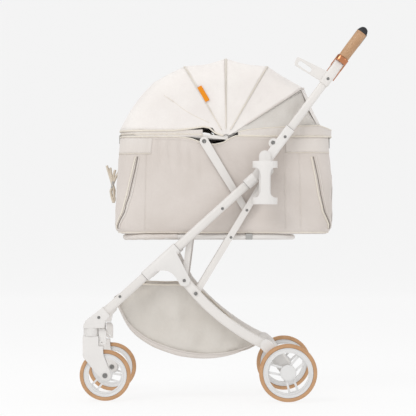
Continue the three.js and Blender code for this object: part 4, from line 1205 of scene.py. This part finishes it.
for end, table in (("front", FRONT_SLIT), ("rear", REAR_SLIT)):
    for side in SIDES:
        trim(f"{end}_slit_zip_{side}", slit_line(table, side, 0, mm(0.2)), mm(1.3), zip_cloth)
        for name, offset, radius, material in SLIT_EDGES:
            trim(f"{end}_slit_{name}_{side}", slit_line(table, side, offset, mm(0.7)), radius, material)


def plate_builder(centre, size):
    return lambda bm: block(bm, centre, size)


for side in SIDES:
    for end, x, height, drop in (("front", -287.5, 24, 0), ("rear", 290.5, 36, -6)):
        centre = MIDDLE + Vector((mm(x), side_of(side) * mm(108), mm(2 + drop)))
        make_piece(f"rim_bracket_{end}_{side}", plate_builder(centre, (mm(4), mm(16), mm(height))),
                   grey_plastic, "frame", bevel=mm(1.2))
tell("cabin trim")

# %% [markdown]
# ## Floor pad
# A crowned pad with rounded edges. Its quilting is a pair of lengthwise channels in its top.

# %% Floor pad
pad_low, pad_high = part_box("floor_pad")
pad_middle, pad_size = (pad_low + pad_high) / 2, pad_high - pad_low


def pad_builder(bm):
    columns, rows = 96, 48

    def point(u, v, top):
        x, y = (u - 0.5) * pad_size.x, (v - 0.5) * pad_size.y
        near = min(min(u, 1 - u) * pad_size.x, min(v, 1 - v) * pad_size.y)
        rise = math.sqrt(max(1 - (1 - min(near / mm(20), 1)) ** 2, 0))
        channel = math.exp(-((abs(y) - mm(48)) / mm(3)) ** 2) * mm(3.5)
        thick = pad_size.z / 2 * rise - (channel if top else 0) * rise
        return Vector((pad_middle.x + x, pad_middle.y + y, pad_middle.z + (thick if top else -thick)))

    grid(bm, lambda u, v: point(u, v, True), columns, rows)
    grid(bm, lambda u, v: point(u, 1 - v, False), columns, rows)


pad = make_piece("floor_cushion", pad_builder, cabin_cloth, "frame", ["floor_pad"])

# %% [markdown]
# ## Front strap
# Webbing sewn to the nose of the cabin, knotted and gathered by a buckle.

# %% Front strap
strap_low, strap_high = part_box("front_strap")
strap_x, strap_top = strap_high.x, strap_high.z


def strap_loop(points, width, thickness=mm(3.6)):
    centre_y = (strap_low.y + strap_high.y) / 2

    def build(bm):
        line = resample([Vector((strap_x + mm(x), 0, strap_top + mm(z))) for x, z in points], mm(2))
        count = len(line) - 1

        def point(u, v):
            k = round(u * count)
            along = (line[min(k + 1, count)] - line[max(k - 1, 0)]).normalized()
            across = Vector((-along.z, 0, along.x))
            turn = 2 * math.pi * v
            size = width * (0.8 + 0.2 * math.cos(u * 2 * math.pi))
            sideways = Vector((0, centre_y + math.cos(turn) * size / 2, 0))
            return line[k] + sideways + across * math.sin(turn) * thickness
        grid(bm, point, count, 16)
    return build


# (points in millimetres from the strap's sewn end, width) of each web of the knot
TAILS = [
    ([(-3, -16), (-10, -28), (-17, -44), (-20, -54)], 26),
    ([(-36, 4), (-31, -12), (-25, -32), (-20, -50)], 14),
    ([(-26, -2), (-24, -18), (-22, -34), (-19, -50)], 18),
    ([(-12, -8), (-16, -22), (-18, -38), (-19, -52)], 16),
    ([(-18, -50), (-25, -68), (-22, -84), (-17, -100), (-14, -92), (-16, -72), (-18, -52)], 24),
    ([(-18, -52), (-14, -66), (-15, -80), (-20, -90)], 18),
]
for k, (points, width) in enumerate(TAILS):
    make_piece(f"strap_web_{k + 1}", strap_loop(points, mm(width)), strap_cloth, "frame",
               ["front_strap"] if k == 0 else ())
buckle_place = Vector((strap_x - mm(19), (strap_low.y + strap_high.y) / 2, strap_top - mm(50)))
buckle_size = (mm(7), mm(24), mm(20))
make_piece("strap_buckle", lambda bm: block(bm, buckle_place, buckle_size, turn_in_side_view(-12)),
           grey_plastic, "frame", bevel=mm(2))
tell("front strap")

# %% [markdown]
# ## Base ring wrap
# Cloth is sewn round the front of the base ring, and a clip holds the cabin floor to the ring's side.

# %% Base ring wrap
ring_low, ring_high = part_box("base_ring")
ring_top = ring_high.z


def ring_point(share, offset, height):
    """A point round the front half of the base ring's tube, from its left side to its right."""
    low = (ring_low.x - MIDDLE.x) * 1000 + 7 - offset
    corner, half = mm(63 + offset), mm(155.5 + offset)
    x0, nose = mm(-128), mm(low)
    run, bend = (x0 - nose - corner), math.pi / 2 * corner
    span = half - corner
    total = 2 * (run + bend + span)
    walked = min(share, 1 - share) * total
    side = -1 if share < 0.5 else 1
    if walked < run:
        x, y = x0 - walked, half
    elif walked < run + bend:
        angle = (walked - run) / corner
        x, y = nose + corner - corner * math.sin(angle), half - corner + corner * math.cos(angle)
    else:
        x, y = nose, half - corner - (walked - run - bend)
    return Vector((MIDDLE.x + x, MIDDLE.y + side * y, ring_top - mm(7) + mm(height)))


def wrap_builder(bm):
    def point(u, v):
        angle = 2 * math.pi * v
        droop = 1 + 0.3 * math.sin(math.pi * u) if math.sin(angle) < 0 else 1
        puff = 8.3 + 0.35 * math.sin(u * 90)
        return ring_point(u, puff * math.cos(angle), puff * math.sin(angle) * droop * 0.86)
    grid(bm, point, 160, 20)


ring_wrap = make_piece("base_ring_wrap", wrap_builder, band_cloth, "frame")
for side in SIDES:
    place = MIDDLE + Vector((mm(69), side_of(side) * mm(156), 0))
    place.z = ring_top - mm(6.5)
    make_piece(f"ring_clip_{side}", plate_builder(place, (mm(19), mm(17), mm(16.5))), grey_plastic,
               "frame", bevel=mm(1.5))

# %% [markdown]
# ## Lower basket
# A sling of cloth between two side panels. The sling's bottom sags, the side panels have a piped hem and
# lean in towards the bottom, and a hem strip wraps the front edge.

# %% Lower basket
basket_low, basket_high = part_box("storage_basket")
BASKET_HALF = (basket_high.y - basket_low.y) / 2
# the basket's lower outline in the side view, in the frame's layout, from its front edge to its rear
SLING = [
    (-226, 317), (-262, 292), (-293, 262), (-288, 245), (-258, 190), (-213, 152), (-158, 127),
    (-108, 114), (-58, 109), (-12, 112), (28, 121), (66, 136), (95, 154),
]
SLING_TOP = [(-226, 318), (-170, 316), (-110, 314), (-60, 287), (-8, 239), (46, 190), (97, 156)]


def smooth_line(points, count):
    """Points evenly spaced along a Catmull-Rom curve through the given ones."""
    points = [Vector(p) for p in points]
    padded_points = [2 * points[0] - points[1]] + points + [2 * points[-1] - points[-2]]
    curve = []
    for a, b, c, d in zip(padded_points, padded_points[1:], padded_points[2:], padded_points[3:]):
        for k in range(16):
            t = k / 16
            place = 2 * b + (c - a) * t
            place += (2 * a - 5 * b + 4 * c - d) * t ** 2
            place += (3 * b - a - 3 * c + d) * t ** 3
            curve.append(0.5 * place)
    curve.append(points[-1])
    flat = [Vector((p.x, 0, p.y)) for p in curve]
    return [Vector((p.x, p.z)) for p in resample(flat, line_length(flat) / (count - 1))]


BASKET_STEPS = 96  # quads along the basket, from front to rear
SLING_LINE = smooth_line(SLING, BASKET_STEPS + 1)
TOP_LINE = smooth_line(SLING_TOP, BASKET_STEPS + 1)


def sling_point(u, v):
    x, z = SLING_LINE[round(u * BASKET_STEPS)]
    across = 2 * v - 1
    sag = 5 * math.sin(math.pi * u) ** 2 * (1 - across ** 2)
    wrinkle = 1.3 * math.sin(u * 46 + 5 * across) * math.sin(math.pi * u)
    wrinkle *= smoothstep(0, 0.35, 1 - abs(across))
    edge = 15 * math.sin(math.pi * u) ** 0.6 * smoothstep(0.955, 1.0, abs(across))
    return laid_out(x, across * (BASKET_HALF * 1000 - 4 - 3 * math.sin(math.pi * u)),
                    z - sag + wrinkle + edge + 4)


def side_panel_point(side):
    def point(u, v):
        low, high = SLING_LINE[round(u * BASKET_STEPS)], TOP_LINE[round(u * BASKET_STEPS)]
        # the panel's lower hem rides a little above the sling, and leaves it showing underneath
        lift = (15 + 3 * math.sin(u * 31)) * math.sin(math.pi * u) ** 0.8
        x, z = low.x + (high.x - low.x) * v, low.y + lift + (high.y - low.y - lift) * v
        lean = 5 * math.sin(math.pi * u) * (1 - v)
        lean += 2.5 * math.sin(math.pi * v) * math.sin(u * 17) * math.sin(math.pi * u)
        drape = 5.5 * math.sin(x * 0.045 + 2.4 * v) + 3.0 * math.sin(x * 0.11 - 5 * v)
        drape *= math.sin(math.pi * v)
        aside = BASKET_HALF * 1000 - lean - 8 + drape * 0.9 * smoothstep(0, 0.3, v)
        return laid_out(x, side_of(side) * aside, z)
    return point


sling = make_piece("basket_sling", lambda bm: grid(bm, sling_point, BASKET_STEPS, 40), band_cloth,
                   "frame", ["storage_basket"], thickness=mm(1))
sling_length = line_length([sling_point(k / BASKET_STEPS, 0.5) for k in range(BASKET_STEPS + 1)])
for side in SIDES:
    point = side_panel_point(side)
    panel = make_piece(f"basket_panel_{side}", lambda bm: grid(bm, point, BASKET_STEPS, 40), basket_cloth,
                       "frame", thickness=mm(1))
    shares = [k / BASKET_STEPS for k in range(BASKET_STEPS + 1)]
    low = [point(share, 0) + Vector((0, side_of(side) * mm(0.6), 0)) for share in shares]
    high = [point(share, 1) + Vector((0, side_of(side) * mm(0.4), 0)) for share in shares]
    trim(f"basket_hem_low_{side}", low, mm(1.3), band_cloth)
    trim(f"basket_hem_high_{side}", high, mm(2.4), piping_cloth)
    corner = [sling_point(share, 0 if side == "left" else 1) for share in shares]
    trim(f"basket_sling_edge_{side}", corner, mm(1.5), band_cloth)
    stitch = [p + Vector((0, side_of(side) * mm(0.5), mm(6))) for p in low[4:-4]]
    make_piece(f"basket_stitches_{side}", lambda bm: stitches(bm, stitch), piping_cloth, "frame")


def sleeve_builder(bm):
    """The basket's front edge, sewn round the front cross tube."""
    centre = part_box("front_cross_tube")
    middle = (centre[0] + centre[1]) / 2

    def point(u, v):
        angle = 2 * math.pi * v
        radius = mm(9.4 + 0.5 * math.sin(u * 60 + angle))
        y = MIDDLE.y + (2 * u - 1) * BASKET_HALF
        return Vector((middle.x + radius * math.cos(angle), y, middle.z + radius * math.sin(angle)))
    grid(bm, point, 90, 24)


sleeve = make_piece("basket_front_sleeve", sleeve_builder, band_cloth, "frame",
                    thickness=mm(0.8))
tell("basket")

# %% [markdown]
# ## Stage, light and camera
# A pale paper floor that curves up into a round wall of the same paper, so that every side of the stroller
# has the same background. Three large soft lights are above and in front, and the camera looks through a
# long lens from the left side, level with the cabin.

# %% Stage
WALL_COLOUR = "#f3f3f3"
PAPER_GLOW = 0.775  # the paper is lit from behind, so that it stays pale
STAGE_RADIUS, STAGE_CURVE, STAGE_HEIGHT = 12.0, 4.0, 9.0


def stage_builder(bm):
    flat = STAGE_RADIUS - STAGE_CURVE
    profile = [(0.001, 0.0), (flat / 2, 0.0)]
    for step in range(13):
        angle = math.pi / 2 * step / 12
        profile.append((flat + STAGE_CURVE * math.sin(angle), STAGE_CURVE * (1 - math.cos(angle))))
    profile.append((STAGE_RADIUS, STAGE_HEIGHT))
    last = len(profile) - 1

    def point(u, v):
        radius, height = profile[round(v * last)]
        return Vector((radius * math.cos(2 * math.pi * u), radius * math.sin(2 * math.pi * u), height))

    grid(bm, point, 96, last, closed=True)


def stage_floor():
    bm = bmesh.new()
    stage_builder(bm)
    mesh = bpy.data.meshes.new("floor")
    bm.to_mesh(mesh)
    bm.free()
    mesh.polygons.foreach_set("use_smooth", [True] * len(mesh.polygons))
    floor = bpy.data.objects.new("floor", mesh)
    bpy.context.scene.collection.objects.link(floor)
    material, _, shader, _ = new_material("paper")
    shader.inputs["Base Color"].default_value = linear("#6f6f6f")
    shader.inputs["Emission Color"].default_value = linear("#ffffff")
    shader.inputs["Emission Strength"].default_value = PAPER_GLOW
    shader.inputs["Roughness"].default_value = 0.9
    paint(floor, material)


def area_light(name, place, target, size, power):
    data = bpy.data.lights.new(name, "AREA")
    data.shape = "RECTANGLE"
    data.size, data.size_y = size
    data.energy = power
    light = bpy.data.objects.new(name, data)
    light.location = place
    light.rotation_euler = (Vector(target) - Vector(place)).to_track_quat("-Z", "Y").to_euler()
    bpy.context.scene.collection.objects.link(light)


stage_floor()
area_light("key", (-1.6, -2.6, 3.0), (0, 0, 0.5), (2.0, 2.0), 46)
area_light("fill", (2.6, -2.2, 1.6), (0, 0, 0.5), (2.0, 2.0), 9)
area_light("top", (0.2, 0.6, 3.4), (0, 0, 0.4), (3.0, 2.4), 26)

world = bpy.data.worlds.new("studio")
world.use_nodes = True
world.node_tree.nodes["Background"].inputs["Color"].default_value = linear(WALL_COLOUR)
world.node_tree.nodes["Background"].inputs["Strength"].default_value = 0.5
bpy.context.scene.world = world
bpy.context.scene.view_settings.view_transform = "Standard"

camera_data = bpy.data.cameras.new("camera")
camera_data.sensor_width = 36
camera_data.lens = 189.7
camera = bpy.data.objects.new("camera", camera_data)
camera.location = at(-1, -6175, 483)
aim = at(-43, -225, 526.5)
camera.rotation_euler = (aim - camera.location).to_track_quat("-Z", "Y").to_euler()
bpy.context.scene.collection.objects.link(camera)
bpy.context.scene.camera = camera
